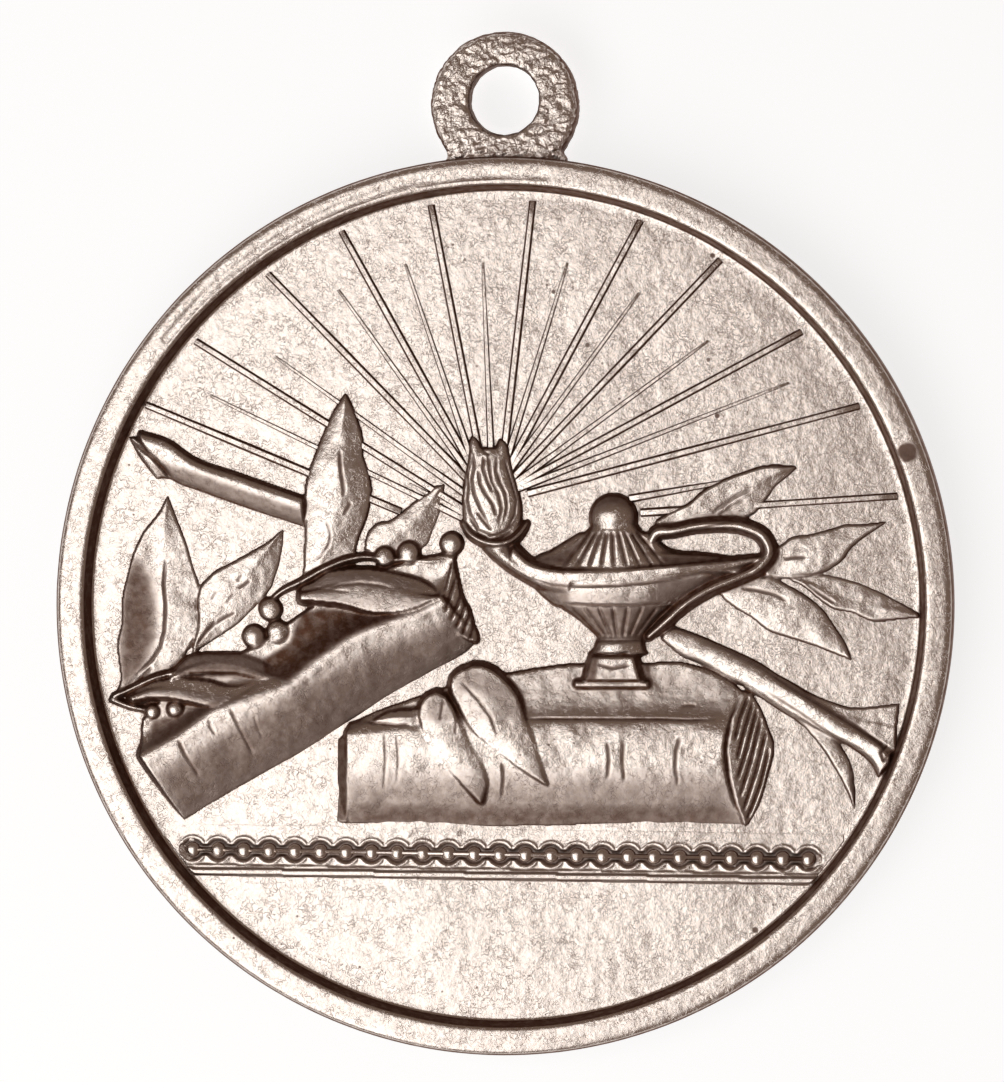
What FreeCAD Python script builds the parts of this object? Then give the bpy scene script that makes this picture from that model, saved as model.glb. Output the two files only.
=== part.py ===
import FreeCAD, Part
import math
import os
from collections import namedtuple

# A struck school prize medal, in millimetres. It lies on its back, with its picture facing +Z and
# its suspension ear towards +Y. The flan, the rim, the ear and the raised picture are one piece of
# white metal. The picture's sizes are read from the disc's centre, and the finished solid is moved
# so that the origin is under the middle of its box.

# Driving dimensions
DISC_R = 16.0                # outside radius of the flan
RIM_TOP = 2.6                # thickness over the two rims
RIM_IN_R = 15.07             # inner edge of the rim's flat top
RIM_BEVEL = 0.07             # bright bevel inside the rim's top
SHOULDER_R = 0.28            # rounding of the outer edge
FIELD_R = 14.78              # foot of the rim's inner wall
FIELD_Z = 1.75               # level of the sunk field that carries the picture
BACK_RIM_IN_R = 14.9         # the plain back is sunk inside a rim of its own
BACK_WALL_DRAFT = 0.15
BACK_FIELD_Z = 0.4

EAR_Y = 17.82                # centre of the ear's round end
EAR_R = 2.65
EAR_BOTTOM = 0.42
EAR_TOP = 2.1
EAR_EDGE = 0.12              # bevel round the ear's faces
NECK_HALF = 2.25             # half the ear's width just above the rim
NECK_ROOT_HALF = 3.0         # half its width where its fillets run out on the disc
NECK_TOP_HALF = 2.37         # half its width where it runs into the round end
NECK_RISE = 0.25             # height of its waist over the disc's edge, under which it flares
NECK_FLARE = 0.37            # length of the flare, and how far out its middle stands
NECK_FLARE_OUT = 0.2
NECK_INSET = 0.03            # its faces lie this much inside the round end's
NECK_JOIN_Y = 16.92
ROOT_OVERLAP = 0.25          # how far the neck's root stays clear of the rim's inner edge
HOLE_Y = 18.0
HOLE_R = 1.22

ROOT_Z = FIELD_Z - 0.35      # every raised form is rooted this deep in the flan
SINK = -0.06                 # edges of round forms dip under the field, measured from it


def at(x, y, height):
    """A point at a height over the field."""
    return FreeCAD.Vector(x, y, FIELD_Z + height)


def face(points):
    return Part.Face(Part.makePolygon(points + points[:1]))


def relief(rows):
    """The closed solid under a net of points, given as rows of equal length."""
    def down(point):
        return FreeCAD.Vector(point.x, point.y, ROOT_Z)

    faces = []
    for row, following in zip(rows, rows[1:]):
        for i in range(len(row) - 1):
            faces.append(face([row[i], row[i + 1], following[i + 1]]))
            faces.append(face([row[i], following[i + 1], following[i]]))
    border = rows[0] + [row[-1] for row in rows[1:-1]] + rows[-1][::-1]
    border += [row[0] for row in rows[-2:0:-1]]
    for a, b in zip(border, border[1:] + border[:1]):
        faces.append(face([a, b, down(b), down(a)]))
    faces.append(face([down(point) for point in border]))
    shell = Part.makeShell(faces)
    shell.sewShape()
    solid = Part.Solid(shell)
    if solid.Volume < 0:
        solid.reverse()
    return solid


def spread(first, last, count):
    """Evenly spaced values, both ends included."""
    return [first + (last - first) * i / (count - 1) for i in range(count)]


def ribbon(path, half_widths, crests, edge=SINK, across=(-1.0, -0.8, -0.4, 0.0, 0.4, 0.8, 1.0)):
    """A rounded band along a path of (x, y) points, with its crest height at each point."""
    rows = []
    for i, (x, y) in enumerate(path):
        before = path[max(i - 1, 0)]
        after = path[min(i + 1, len(path) - 1)]
        length = math.dist(before, after)
        side_x, side_y = (before[1] - after[1]) / length, (after[0] - before[0]) / length
        rows.append([
            at(x + side_x * half_widths[i] * u, y + side_y * half_widths[i] * u,
               edge + (crests[i] - edge) * math.sqrt(1 - u * u))
            for u in across])
    return relief(rows)


def flan():
    """The disc with its two rims, turned about its axis, its outer edge rounded in three steps."""
    round_off = [(DISC_R - SHOULDER_R * (1 - math.cos(turn)), SHOULDER_R * (1 - math.sin(turn)))
                 for turn in (math.radians(angle) for angle in (90, 60, 30, 0))]
    section = [(0, BACK_FIELD_Z), (BACK_RIM_IN_R - BACK_WALL_DRAFT, BACK_FIELD_Z), (BACK_RIM_IN_R, 0)]
    section += round_off + [(r, RIM_TOP - z) for r, z in reversed(round_off)]
    section += [(RIM_IN_R, RIM_TOP), (RIM_IN_R - RIM_BEVEL, RIM_TOP - RIM_BEVEL),
                (FIELD_R, FIELD_Z), (0, FIELD_Z)]
    half = face([FreeCAD.Vector(r, 0, z) for r, z in section])
    return half.revolve(FreeCAD.Vector(0, 0, 0), FreeCAD.Vector(0, 0, 1), 360)


def ear():
    """The suspension ear: a turned round end with bevelled edges, on a neck rooted in the rim."""
    section = [(0, EAR_BOTTOM), (EAR_R - EAR_EDGE, EAR_BOTTOM), (EAR_R, EAR_BOTTOM + EAR_EDGE),
               (EAR_R, EAR_TOP - EAR_EDGE), (EAR_R - EAR_EDGE, EAR_TOP), (0, EAR_TOP)]
    end = face([FreeCAD.Vector(r, EAR_Y, z) for r, z in section])
    end = end.revolve(FreeCAD.Vector(0, EAR_Y, 0), FreeCAD.Vector(0, 0, 1), 360)

    waist = DISC_R + NECK_RISE
    seat = math.sqrt(DISC_R ** 2 - NECK_ROOT_HALF ** 2) - NECK_INSET
    root = RIM_IN_R + ROOT_OVERLAP

    def v(x, y):
        return FreeCAD.Vector(x, y, EAR_BOTTOM + NECK_INSET)

    def flare(side):
        return Part.Arc(v(side * NECK_HALF, waist),
                        v(side * (NECK_HALF + NECK_FLARE_OUT), waist - NECK_FLARE),
                        v(side * NECK_ROOT_HALF, seat)).toShape()

    corners = [v(NECK_ROOT_HALF, seat), v(NECK_ROOT_HALF, root), v(-NECK_ROOT_HALF, root),
               v(-NECK_ROOT_HALF, seat)]
    crown = [v(-NECK_HALF, waist), v(-NECK_TOP_HALF, NECK_JOIN_Y), v(NECK_TOP_HALF, NECK_JOIN_Y),
             v(NECK_HALF, waist)]
    outline = Part.Wire(Part.__sortEdges__(
        Part.makePolygon(corners).Edges + Part.makePolygon(crown).Edges + [flare(1), flare(-1)]))
    neck = Part.Face(outline).extrude(FreeCAD.Vector(0, 0, EAR_TOP - EAR_BOTTOM - 2 * NECK_INSET))
    hole = Part.makeCylinder(HOLE_R, EAR_TOP - EAR_BOTTOM + 2,
                             FreeCAD.Vector(0, HOLE_Y, EAR_BOTTOM - 1))
    return end.fuse(neck).cut(hole)


# The rays stand as thin ridges with sharp crests: tip, then root beside the flame. Long rays keep
# their width to the rim, and short ones taper to a point.
Ray = namedtuple("Ray", "tip_x tip_y root_x root_y long")
RAYS = [
    Ray(-12.83, 7.16, -5.45, 4.25, True),
    Ray(-10.51, 7.48, -5.55, 5.10, False),
    Ray(-11.05, 9.43, -4.95, 5.65, True),
    Ray(-8.17, 8.86, -5.30, 6.80, False),
    Ray(-8.45, 11.82, -1.70, 4.90, True),
    Ray(-5.93, 11.25, -1.34, 4.85, False),
    Ray(-5.82, 13.34, -1.30, 5.20, True),
    Ray(-3.54, 12.17, -1.23, 5.38, False),
    Ray(-2.62, 14.27, -0.98, 5.88, True),
    Ray(-0.77, 12.21, -0.49, 5.81, False),
    Ray(1.01, 14.41, 0.05, 5.98, True),
    Ray(2.25, 12.21, 0.26, 5.77, False),
    Ray(4.85, 13.70, 0.44, 5.48, True),
    Ray(4.81, 11.14, 0.44, 5.16, False),
    Ray(7.69, 12.31, 0.51, 4.78, True),
    Ray(7.26, 9.43, 0.54, 4.49, False),
    Ray(10.57, 9.75, 0.62, 4.38, True),
    Ray(10.14, 7.94, 0.76, 4.28, False),
    Ray(12.63, 7.12, 1.36, 4.14, True),
    Ray(9.90, 4.78, 4.46, 3.82, False),
    Ray(13.98, 3.92, 4.85, 3.32, True),
]
RAY_HALF = 0.11              # half the width of a ray's foot
RAY_CREST = 0.14
LONG_TIP, SHORT_TIP = 0.8, 0.15        # share of its size that a ray keeps at its tip


def ray(row):
    root, tip = (row.root_x, row.root_y), (row.tip_x, row.tip_y)
    tip_share = LONG_TIP if row.long else SHORT_TIP
    path = [root, ((root[0] + tip[0]) / 2, (root[1] + tip[1]) / 2), tip]
    widths = [RAY_HALF, RAY_HALF, RAY_HALF * tip_share]
    crests = [RAY_CREST, RAY_CREST, RAY_CREST * tip_share]
    return ribbon(path, widths, crests, across=(-1.0, 0.0, 1.0))


# A leaf runs from its base to its tip, with a sideways bow, and swells on the left and right of its
# rib. edge and rib are its heights over the field there.
Leaf = namedtuple("Leaf", "base_x base_y tip_x tip_y bow left left_at right right_at edge rib")
LEAVES = [
    Leaf(-14.10, -3.35, -12.04, 3.96, -0.57, 1.15, 0.60, 1.75, 0.30, 0.16, 0.36),
    Leaf(-11.10, -1.55, -7.90, 2.75, 0.00, 1.20, 0.36, 1.05, 0.55, 0.12, 0.34),
    Leaf(-7.10, 1.20, -5.69, 7.54, -0.64, 1.22, 0.50, 1.15, 0.35, 0.18, 0.46),
    Leaf(-5.04, 2.00, -2.13, 4.31, 0.00, 0.32, 0.25, 1.20, 0.50, 0.12, 0.26),
    Leaf(-7.30, 0.55, -2.20, 0.33, 0.12, 0.85, 0.45, 0.62, 0.50, 0.58, 0.80),
    Leaf(-13.30, -3.20, -7.53, -2.65, 0.35, 0.75, 0.45, 0.30, 0.50, 0.52, 0.72),
    Leaf(-13.00, -3.80, -7.60, -2.76, -0.20, 0.50, 0.35, 0.50, 0.60, 0.58, 0.76),
    Leaf(-1.73, -2.34, 1.58, -6.39, -0.20, 1.05, 0.35, 0.85, 0.40, 0.75, 0.85),
    Leaf(-2.80, -3.08, -0.60, -7.05, 0.15, 0.62, 0.40, 0.60, 0.40, 0.74, 0.83),
    Leaf(-4.85, -4.05, -2.80, -3.90, 0.00, 0.22, 0.50, 0.26, 0.50, 0.60, 0.74),
    Leaf(5.84, 3.28, 10.46, 4.96, 0.00, 0.40, 0.60, 1.05, 0.55, 0.10, 0.28),
    Leaf(9.40, 1.20, 13.66, 3.03, 0.10, 0.82, 0.35, 0.70, 0.40, 0.14, 0.34),
    Leaf(7.98, 0.72, 12.28, -1.80, 0.00, 1.05, 0.45, 0.70, 0.40, 0.16, 0.38),
    Leaf(10.40, 0.80, 14.73, -0.59, 0.00, 0.90, 0.45, 0.50, 0.42, 0.10, 0.28),
    Leaf(9.65, -2.44, 14.20, -3.55, -0.36, 0.20, 0.50, 0.65, 0.50, 0.08, 0.22),
    Leaf(8.60, -2.90, 12.49, -7.28, 0.75, 0.42, 0.60, 0.30, 0.45, 0.06, 0.20),
]
LEAF_STATIONS = (0.0, 0.14, 0.34, 0.56, 0.78, 0.93, 1.0)
LEAF_POINT = 0.05            # half the width that a leaf's two ends keep
LEAF_END = 0.35              # share of the rib's rise over the edge that is left at its ends
LEAF_PUFF = 0.05             # how much the middle of each half bulges


def leaf(row):
    length = math.dist((row.base_x, row.base_y), (row.tip_x, row.tip_y))
    along_x = (row.tip_x - row.base_x) / length
    along_y = (row.tip_y - row.base_y) / length

    def swell(t, widest, widest_at):
        share = t / widest_at if t < widest_at else (1 - t) / (1 - widest_at)
        return LEAF_POINT + widest * (1 - (1 - share) ** 2)

    rows = []
    for t in LEAF_STATIONS:
        lift = row.edge + (row.rib - row.edge) * (LEAF_END + (1 - LEAF_END) * math.sin(math.pi * t))
        bow = row.bow * 4 * t * (1 - t)
        left, right = swell(t, row.left, row.left_at), swell(t, row.right, row.right_at)
        puff = (lift + row.edge) / 2 + LEAF_PUFF
        offsets = [(left, row.edge), (left / 2, puff), (0, lift), (-right / 2, puff),
                   (-right, row.edge)]
        rows.append([at(row.base_x + along_x * length * t - along_y * (bow + offset),
                        row.base_y + along_y * length * t + along_x * (bow + offset), height)
                     for offset, height in offsets])
    return relief(rows)


# Round berries on the laurel, by their centres and radii.
Berry = namedtuple("Berry", "x y r height")
BERRIES = [
    Berry(-8.35, -0.13, 0.43, 0.38), Berry(-8.95, -1.09, 0.43, 0.38), Berry(-8.10, -0.91, 0.41, 0.38),
    Berry(-4.26, 1.75, 0.37, 0.30), Berry(-3.40, 1.90, 0.41, 0.30), Berry(-1.87, 2.22, 0.40, 0.28),
    Berry(-11.76, -3.69, 0.31, 0.50), Berry(-12.58, -3.79, 0.28, 0.42),
]


DOME_SIDES = 12
DOME_RINGS = (0, 30, 60, 84)     # degrees up from a round bead's widest circle


def dome(x, y, r, height):
    """The upper half of a round bead, in facets, with its widest circle at a height."""
    foot = ROOT_Z - FIELD_Z
    rings = [(1.0, foot)] + [(math.cos(math.radians(up)), height + r * math.sin(math.radians(up)))
                             for up in DOME_RINGS]
    nets = [[at(x + r * share * math.cos(2 * math.pi * i / DOME_SIDES),
                y + r * share * math.sin(2 * math.pi * i / DOME_SIDES), level)
             for i in range(DOME_SIDES)] for share, level in rings]
    faces = [face(nets[0]), face(nets[-1])]
    for low, high in zip(nets, nets[1:]):
        for i in range(DOME_SIDES):
            after = (i + 1) % DOME_SIDES
            faces.append(face([low[i], low[after], high[after], high[i]]))
    shell = Part.makeShell(faces)
    shell.sewShape()
    return Part.Solid(shell)


def berry(row):
    return dome(row.x, row.y, row.r, row.height - row.r * 0.4)


def stems():
    """The two cut branches that end at the left and right, and the twig that crosses the book."""
    left = ribbon([(-12.95, 5.45), (-12.4, 5.15), (-7.15, 3.3)], [0.42, 0.5, 0.45], [0.5, 0.5, 0.42])
    right = ribbon([(5.55, -0.85), (6.0, -1.1), (8.4, -2.2), (11.0, -3.65), (13.6, -5.5)],
                   [0.22, 0.36, 0.42, 0.46, 0.62], [0.25, 0.4, 0.45, 0.5, 0.55])
    twig = ribbon([(-7.95, 0.35), (-6.9, 1.12), (-5.6, 1.6), (-4.7, 1.62), (-3.0, 1.75), (-1.9, 1.75)],
                  [0.16, 0.16, 0.15, 0.13, 0.1, 0.08], [0.6, 0.62, 0.5, 0.36, 0.3, 0.25])
    sprig = ribbon([(-14.0, -3.45), (-13.3, -4.0), (-12.6, -4.05)], [0.12, 0.11, 0.1],
                   [0.3, 0.34, 0.36])
    return [left, right, twig, sprig]


# A book lies with its rounded spine to the front. Each cut crosses it from the far edge of its
# cover, over the hinge beside the spine, to the spine's foot.
Cut = namedtuple("Cut", "far_x far_y hinge_x hinge_y foot_x foot_y")
UPPER_BOOK = [
    Cut(-13.60, -3.60, -13.00, -5.30, -11.47, -7.71),
    Cut(-10.10, -1.30, -9.70, -3.45, -8.30, -5.85),
    Cut(-6.20, 1.05, -5.90, -1.30, -4.70, -3.65),
    Cut(-1.95, 1.65, -2.28, 0.30, -1.23, -1.75),
]
LOWER_BOOK = [
    Cut(-5.80, -2.70, -5.80, -4.15, -5.80, -7.80),
    Cut(1.00, -2.25, 1.00, -4.05, 1.00, -7.80),
    Cut(8.35, -3.05, 7.90, -4.10, 8.55, -7.80),
]
COVER_FAR, COVER_NEAR = 0.32, 0.56     # heights of a cover's far edge and of its hinge
# Round the spine, from hinge to foot: the share of the way down, and the height there.
SPINE_ROUND = [(0.04, 0.62), (0.16, 0.70), (0.36, 0.73), (0.58, 0.68), (0.78, 0.52), (0.92, 0.28),
               (1.0, 0.04)]


def book(cuts):
    rows = []
    for cut in cuts:
        row = [at(cut.far_x, cut.far_y, COVER_FAR), at(cut.hinge_x, cut.hinge_y, COVER_NEAR)]
        row += [at(cut.hinge_x + (cut.foot_x - cut.hinge_x) * share,
                   cut.hinge_y + (cut.foot_y - cut.hinge_y) * share, height)
                for share, height in SPINE_ROUND]
        rows.append(row)
    return relief(rows)


# The page block at a book's open end: its near and far edges, from the cover down to the foot.
Leaves = namedtuple("Leaves", "near_x near_y far_x far_y height")
UPPER_PAGES = [
    Leaves(-1.78, 1.66, -1.62, 1.62, 0.34), Leaves(-2.05, 1.04, -1.60, 0.95, 0.42),
    Leaves(-2.26, 0.42, -1.55, 0.38, 0.50), Leaves(-2.20, -0.15, -1.26, -0.12, 0.50),
    Leaves(-1.88, -0.62, -1.12, -0.60, 0.42), Leaves(-1.42, -1.22, -0.90, -1.20, 0.28),
]
LOWER_PAGES = [
    Leaves(8.30, -3.12, 8.78, -3.14, 0.34), Leaves(7.98, -4.05, 9.20, -3.92, 0.44),
    Leaves(7.86, -5.04, 9.52, -4.90, 0.50), Leaves(7.96, -6.10, 9.35, -6.00, 0.46),
    Leaves(8.20, -7.10, 9.04, -7.05, 0.34), Leaves(8.52, -7.78, 8.74, -7.76, 0.20),
]
PAGE_RIDGES = 5
PAGE_DEPTH = 0.09            # depth of the lines between gatherings of pages


def page_end(table):
    rows = []
    for line in table:
        row = []
        for i in range(2 * PAGE_RIDGES + 1):
            u = i / (2 * PAGE_RIDGES)
            drop = PAGE_DEPTH * (1 - i % 2) + 0.2 * line.height * u
            row.append(at(line.near_x + (line.far_x - line.near_x) * u,
                          line.near_y + (line.far_y - line.near_y) * u, line.height - drop))
        rows.append(row)
    return relief(rows)


# The oil lamp is cut into level bands: how high on the picture, from where to where, and how far it
# stands out in the middle.
Band = namedtuple("Band", "y left right crest")
LAMP_CUP = [
    Band(-1.18, 3.42, 4.92, 0.52), Band(-0.85, 3.05, 5.12, 0.60), Band(-0.45, 2.60, 5.45, 0.67),
    Band(0.05, 1.80, 6.02, 0.72),
]
LAMP_BELLY = [
    Band(0.02, 1.84, 5.98, 0.73), Band(0.48, 1.30, 6.60, 0.77), Band(0.94, 0.80, 7.55, 0.77),
    Band(1.38, 0.70, 8.85, 0.70),
]
LAMP_LID = [
    Band(1.34, 1.95, 5.65, 0.70), Band(1.92, 2.30, 5.38, 0.72), Band(2.42, 2.72, 5.08, 0.70),
    Band(2.86, 3.18, 4.68, 0.64),
]
LAMP_NECK = [
    Band(-1.86, 2.98, 5.14, 0.62), Band(-1.55, 3.20, 5.02, 0.66), Band(-1.34, 3.18, 5.00, 0.66),
    Band(-1.08, 3.50, 4.80, 0.56),
]
CUP_FLUTES, LID_FLUTES = 8, 9
FLUTE_DEPTH = 0.09
KNOB_X, KNOB_Y, KNOB_R, KNOB_SINK = 3.89, 3.30, 0.76, 0.08
FOOT_TOP_Y, FOOT_PLINTH_Y, FOOT_BASE_Y = -1.80, -2.58, -2.93


def rounded(bands, flutes=0, plain=9):
    """Level bands with rounded fronts, plain or cut with upright flutes."""
    count = 2 * flutes + 1 if flutes else plain
    rows = []
    for band in bands:
        row = []
        for i, u in enumerate(spread(-1.0, 1.0, count)):
            height = 0.05 + (band.crest - 0.05) * (1 - abs(u) ** 3)
            if flutes and i % 2 == 0 and 0 < i < count - 1:
                height -= FLUTE_DEPTH
            row.append(at((band.left + band.right) / 2 + (band.right - band.left) / 2 * u,
                          band.y, height))
        rows.append(row)
    return relief(rows)


def lamp():
    cup = rounded(LAMP_CUP, CUP_FLUTES)
    lid = rounded(LAMP_LID, LID_FLUTES)
    belly, neck = rounded(LAMP_BELLY), rounded(LAMP_NECK)
    knob = dome(KNOB_X, KNOB_Y, KNOB_R, KNOB_SINK)
    # The lip round the bowl, the pouring spout, its nozzle, and the looped handle.
    lip = ribbon([(0.45, 1.66), (1.4, 1.33), (2.64, 1.17), (3.96, 1.14), (5.13, 1.22),
                  (6.9, 1.40), (8.95, 1.68)],
                 [0.13, 0.15, 0.16, 0.16, 0.16, 0.15, 0.1],
                 [0.62, 0.76, 0.83, 0.84, 0.83, 0.74, 0.4])
    spout = ribbon([(-0.42, 2.45), (-0.12, 1.95), (0.33, 1.52), (0.85, 1.2), (1.6, 0.95)],
                   [0.62, 0.42, 0.33, 0.33, 0.50], [0.45, 0.52, 0.60, 0.66, 0.70])
    nozzle = ribbon([(-1.48, 3.0), (-1.22, 2.6), (-0.8, 2.33), (-0.25, 2.22), (0.25, 2.33),
                     (0.6, 2.62), (0.84, 2.98)],
                    [0.1, 0.14, 0.16, 0.17, 0.16, 0.14, 0.1],
                    [0.4, 0.54, 0.62, 0.64, 0.62, 0.54, 0.4])
    handle = ribbon([(5.25, 2.5), (5.8, 2.62), (6.6, 2.78), (7.6, 2.88), (8.55, 2.80), (9.22, 2.45),
                     (9.42, 1.92), (9.05, 1.42), (8.4, 1.08), (7.45, 0.68), (6.5, 0.12), (5.8, -0.52),
                     (5.1, -1.08)],
                    [0.26, 0.3, 0.3, 0.3, 0.3, 0.3, 0.3, 0.3, 0.28, 0.26, 0.24, 0.2, 0.16],
                    [0.5, 0.56, 0.58, 0.6, 0.6, 0.6, 0.58, 0.58, 0.6, 0.62, 0.66, 0.62, 0.5],
                    across=(-1.0, -0.55, 0.0, 0.55, 1.0))
    shoulders = [
        relief([[at(0.52, 1.58, 0.3), at(0.56, 1.82, 0.2)], [at(1.4, 1.30, 0.56), at(1.4, 1.74, 0.4)],
                [at(2.5, 1.2, 0.6), at(2.5, 2.1, 0.5)]]),
        relief([[at(5.2, 1.3, 0.6), at(5.3, 2.0, 0.5)], [at(6.0, 1.4, 0.56), at(6.0, 1.95, 0.42)],
                [at(7.58, 1.55, 0.46), at(7.58, 1.84, 0.36)],
                [at(8.98, 1.66, 0.3), at(8.98, 1.76, 0.26)]]),
    ]
    return [cup, lid, belly, neck, knob, lip, spout, nozzle, handle] + shoulders


def foot():
    """The lamp's square foot: a splayed block on a flat plinth."""
    middle, block, plinth = 3.90, 1.28, 1.42
    heights = (0.45, 0.68, 0.68, 0.45)
    splay = [[at(middle + half * u, y, height + lift)
              for u, height in zip((-1, -0.72, 0.72, 1), heights)]
             for y, half, lift in ((FOOT_TOP_Y, 1.02, 0.0), (FOOT_PLINTH_Y, block, 0.1))]
    base = [[at(middle + plinth * u, y, 0.8) for u in (-1, 1)] for y in (FOOT_PLINTH_Y, FOOT_BASE_Y)]
    return [relief(splay), relief(base)]


# The flame is a net of upright strands: each level gives its left and right edge.
Level = namedtuple("Level", "y left right")
FLAME = [
    Level(2.35, -1.05, 0.45), Level(2.90, -1.46, 0.66), Level(3.60, -1.53, 0.68),
    Level(4.30, -1.48, 0.50), Level(4.90, -1.36, 0.27), Level(5.40, -1.24, 0.08),
]
FLAME_STRANDS = [0.08, 0.48, 0.34, 0.58, 0.36, 0.56, 0.34, 0.46, 0.08]
FLAME_TIPS = [(-1.16, 5.75), (-1.04, 6.0), (-0.92, 5.92), (-0.78, 5.72), (-0.58, 5.62), (-0.40, 5.70),
              (-0.22, 5.86), (-0.10, 5.88), (0.0, 5.62)]


def flame():
    rows = []
    for level in FLAME:
        xs = spread(level.left, level.right, len(FLAME_STRANDS))
        rows.append([at(x, level.y, height) for x, height in zip(xs, FLAME_STRANDS)])
    rows.append([at(x, y, height * 0.5) for (x, y), height in zip(FLAME_TIPS, FLAME_STRANDS)])
    return relief(rows)


# The border under the books slopes a little: beads joined by a bar, on a raised strip with a
# moulding along its lower edge, above the blank exergue.
BEADS = 25
BEAD_R = 0.31
FIRST_BEAD, LAST_BEAD = (-11.17, -8.72), (10.83, -8.99)
STRIP_END = 11.65
STRIP_HEIGHT = 0.12
STRIP_UP, STRIP_DOWN = 0.52, 0.80      # how far it reaches above and below the beads


def border():
    slope = (LAST_BEAD[1] - FIRST_BEAD[1]) / (LAST_BEAD[0] - FIRST_BEAD[0])

    def line(x, offset):
        return FIRST_BEAD[1] + slope * (x - FIRST_BEAD[0]) + offset

    strip = relief([[at(x, line(x, offset), STRIP_HEIGHT) for x in (-STRIP_END, STRIP_END)]
                    for offset in (STRIP_UP, -STRIP_DOWN)])
    bar = ribbon([(x, line(x, 0)) for x in (FIRST_BEAD[0], LAST_BEAD[0])], [0.07, 0.07], [0.26, 0.26],
                 across=(-1.0, -0.6, 0.6, 1.0))
    moulding = ribbon([(x, line(x, -STRIP_DOWN)) for x in (-STRIP_END, STRIP_END)], [0.12, 0.12],
                      [0.3, 0.3], across=(-1.0, -0.5, 0.5, 1.0))
    beads = [dome(x, line(x, 0), BEAD_R, STRIP_HEIGHT)
             for x in spread(FIRST_BEAD[0], LAST_BEAD[0], BEADS)]
    return [strip, bar, moulding] + beads


def picture():
    forms = [ray(row) for row in RAYS] + [leaf(row) for row in LEAVES] + stems()
    forms += [book(UPPER_BOOK), book(LOWER_BOOK), page_end(UPPER_PAGES), page_end(LOWER_PAGES)]
    forms += [berry(row) for row in BERRIES] + lamp() + foot() + [flame()] + border()
    return forms


medal = flan().fuse(ear()).multiFuse(picture())
medal.translate(FreeCAD.Vector(0, -(EAR_Y + EAR_R - DISC_R) / 2, 0))
os.makedirs("parts", exist_ok=True)
medal.exportStep("parts/medal.step")
print("solids", len(medal.Solids), "valid", medal.isValid(), "volume mm3", round(medal.Volume, 1))
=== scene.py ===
import bpy
import bmesh
import math
import numpy as np
from collections import namedtuple
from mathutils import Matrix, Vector, noise


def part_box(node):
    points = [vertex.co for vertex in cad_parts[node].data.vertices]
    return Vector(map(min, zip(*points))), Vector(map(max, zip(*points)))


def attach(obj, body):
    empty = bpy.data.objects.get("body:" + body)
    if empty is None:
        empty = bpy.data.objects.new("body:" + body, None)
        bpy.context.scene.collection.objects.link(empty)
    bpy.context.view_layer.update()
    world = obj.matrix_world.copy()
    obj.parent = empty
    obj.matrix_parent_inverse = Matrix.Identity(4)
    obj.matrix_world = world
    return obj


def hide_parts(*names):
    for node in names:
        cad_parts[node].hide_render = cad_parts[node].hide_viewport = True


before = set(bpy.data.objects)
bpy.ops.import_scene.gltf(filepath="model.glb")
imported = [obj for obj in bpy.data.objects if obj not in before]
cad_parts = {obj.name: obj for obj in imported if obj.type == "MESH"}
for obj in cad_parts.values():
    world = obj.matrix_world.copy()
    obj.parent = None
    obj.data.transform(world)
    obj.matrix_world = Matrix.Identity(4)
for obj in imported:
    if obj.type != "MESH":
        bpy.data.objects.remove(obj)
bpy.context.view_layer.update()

# The flan: a round blank of white metal, struck between two dies. Its outer edge is rounded, each
# face has a flat rim, and the back is a plain sunk field. It is turned here in millimetres round
# the disc's centre, as every form below is, and brought to its place in the frame when finished.
MM = 0.001
low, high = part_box("medal")
DISC_R = (high.x - low.x) / 2 / MM
DISC_Y = low.y / MM + DISC_R
RIM_TOP = (high.z - low.z) / MM
FIELD_Z, BACK_FIELD_Z = 1.75, 0.4
FIELD_R = 14.76              # where the field meets the rim's inner wall
FIELD_WAVES = ((5.0, 0.035), (2.1, 0.014), (0.9, 0.004))
SHOULDER_R = 0.28
EDGE_MARGIN = 0.012          # room for the edge's small dents inside the true radius
TURN_STEPS = 384
BORDER_Y = -8.855            # middle of the beaded border, which has a bed of its own
BORDER_HALF, BORDER_END_R, BORDER_SINK = 0.50, 14.4, 0.15
RIM_LUMPS = ((1.3, 0.010), (0.5, 0.006))
RIM_WEAR, RIM_DENTS, SIDE_WEAR, SIDE_DENTS = 0.004, 0.4, 0.005, 0.5
GROOVE_R, GROOVE_HALF, GROOVE_DEPTH = 15.33, 0.13, 0.08
GROOVE_IN, GROOVE_OUT = 15.2, 15.5
GROOVE_START, GROOVE_END = 84, 142          # in degrees, to the left from the disc's right side
GROOVE_WANDER, WANDER_TURN = 0.12, 9


def start():
    """Leaves edit mode with nothing selected."""
    if bpy.context.object and bpy.context.object.mode != "OBJECT":
        bpy.ops.object.mode_set(mode="OBJECT")
    bpy.ops.object.select_all(action="DESELECT")


def alone(piece):
    """Selects one object and makes it active, in object mode."""
    start()
    piece.select_set(True)
    bpy.context.view_layer.objects.active = piece


def finish_piece(piece, name, material):
    """Brings a finished form from millimetres to its place, and fixes it to the body."""
    alone(piece)
    piece.name = piece.data.name = name
    bpy.ops.object.transform_apply(location=True, rotation=True, scale=True)
    bpy.ops.object.mode_set(mode="EDIT")
    bpy.ops.mesh.select_all(action="SELECT")
    bpy.ops.transform.translate(value=(0, DISC_Y, 0))
    bpy.ops.transform.resize(value=(MM, MM, MM), center_override=(0, 0, 0))
    bpy.ops.mesh.normals_make_consistent(inside=False)
    bpy.ops.object.mode_set(mode="OBJECT")
    bpy.ops.object.shade_smooth()
    piece.data.materials.clear()
    piece.data.materials.append(material)
    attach(piece, "root")
    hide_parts("medal")


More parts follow.
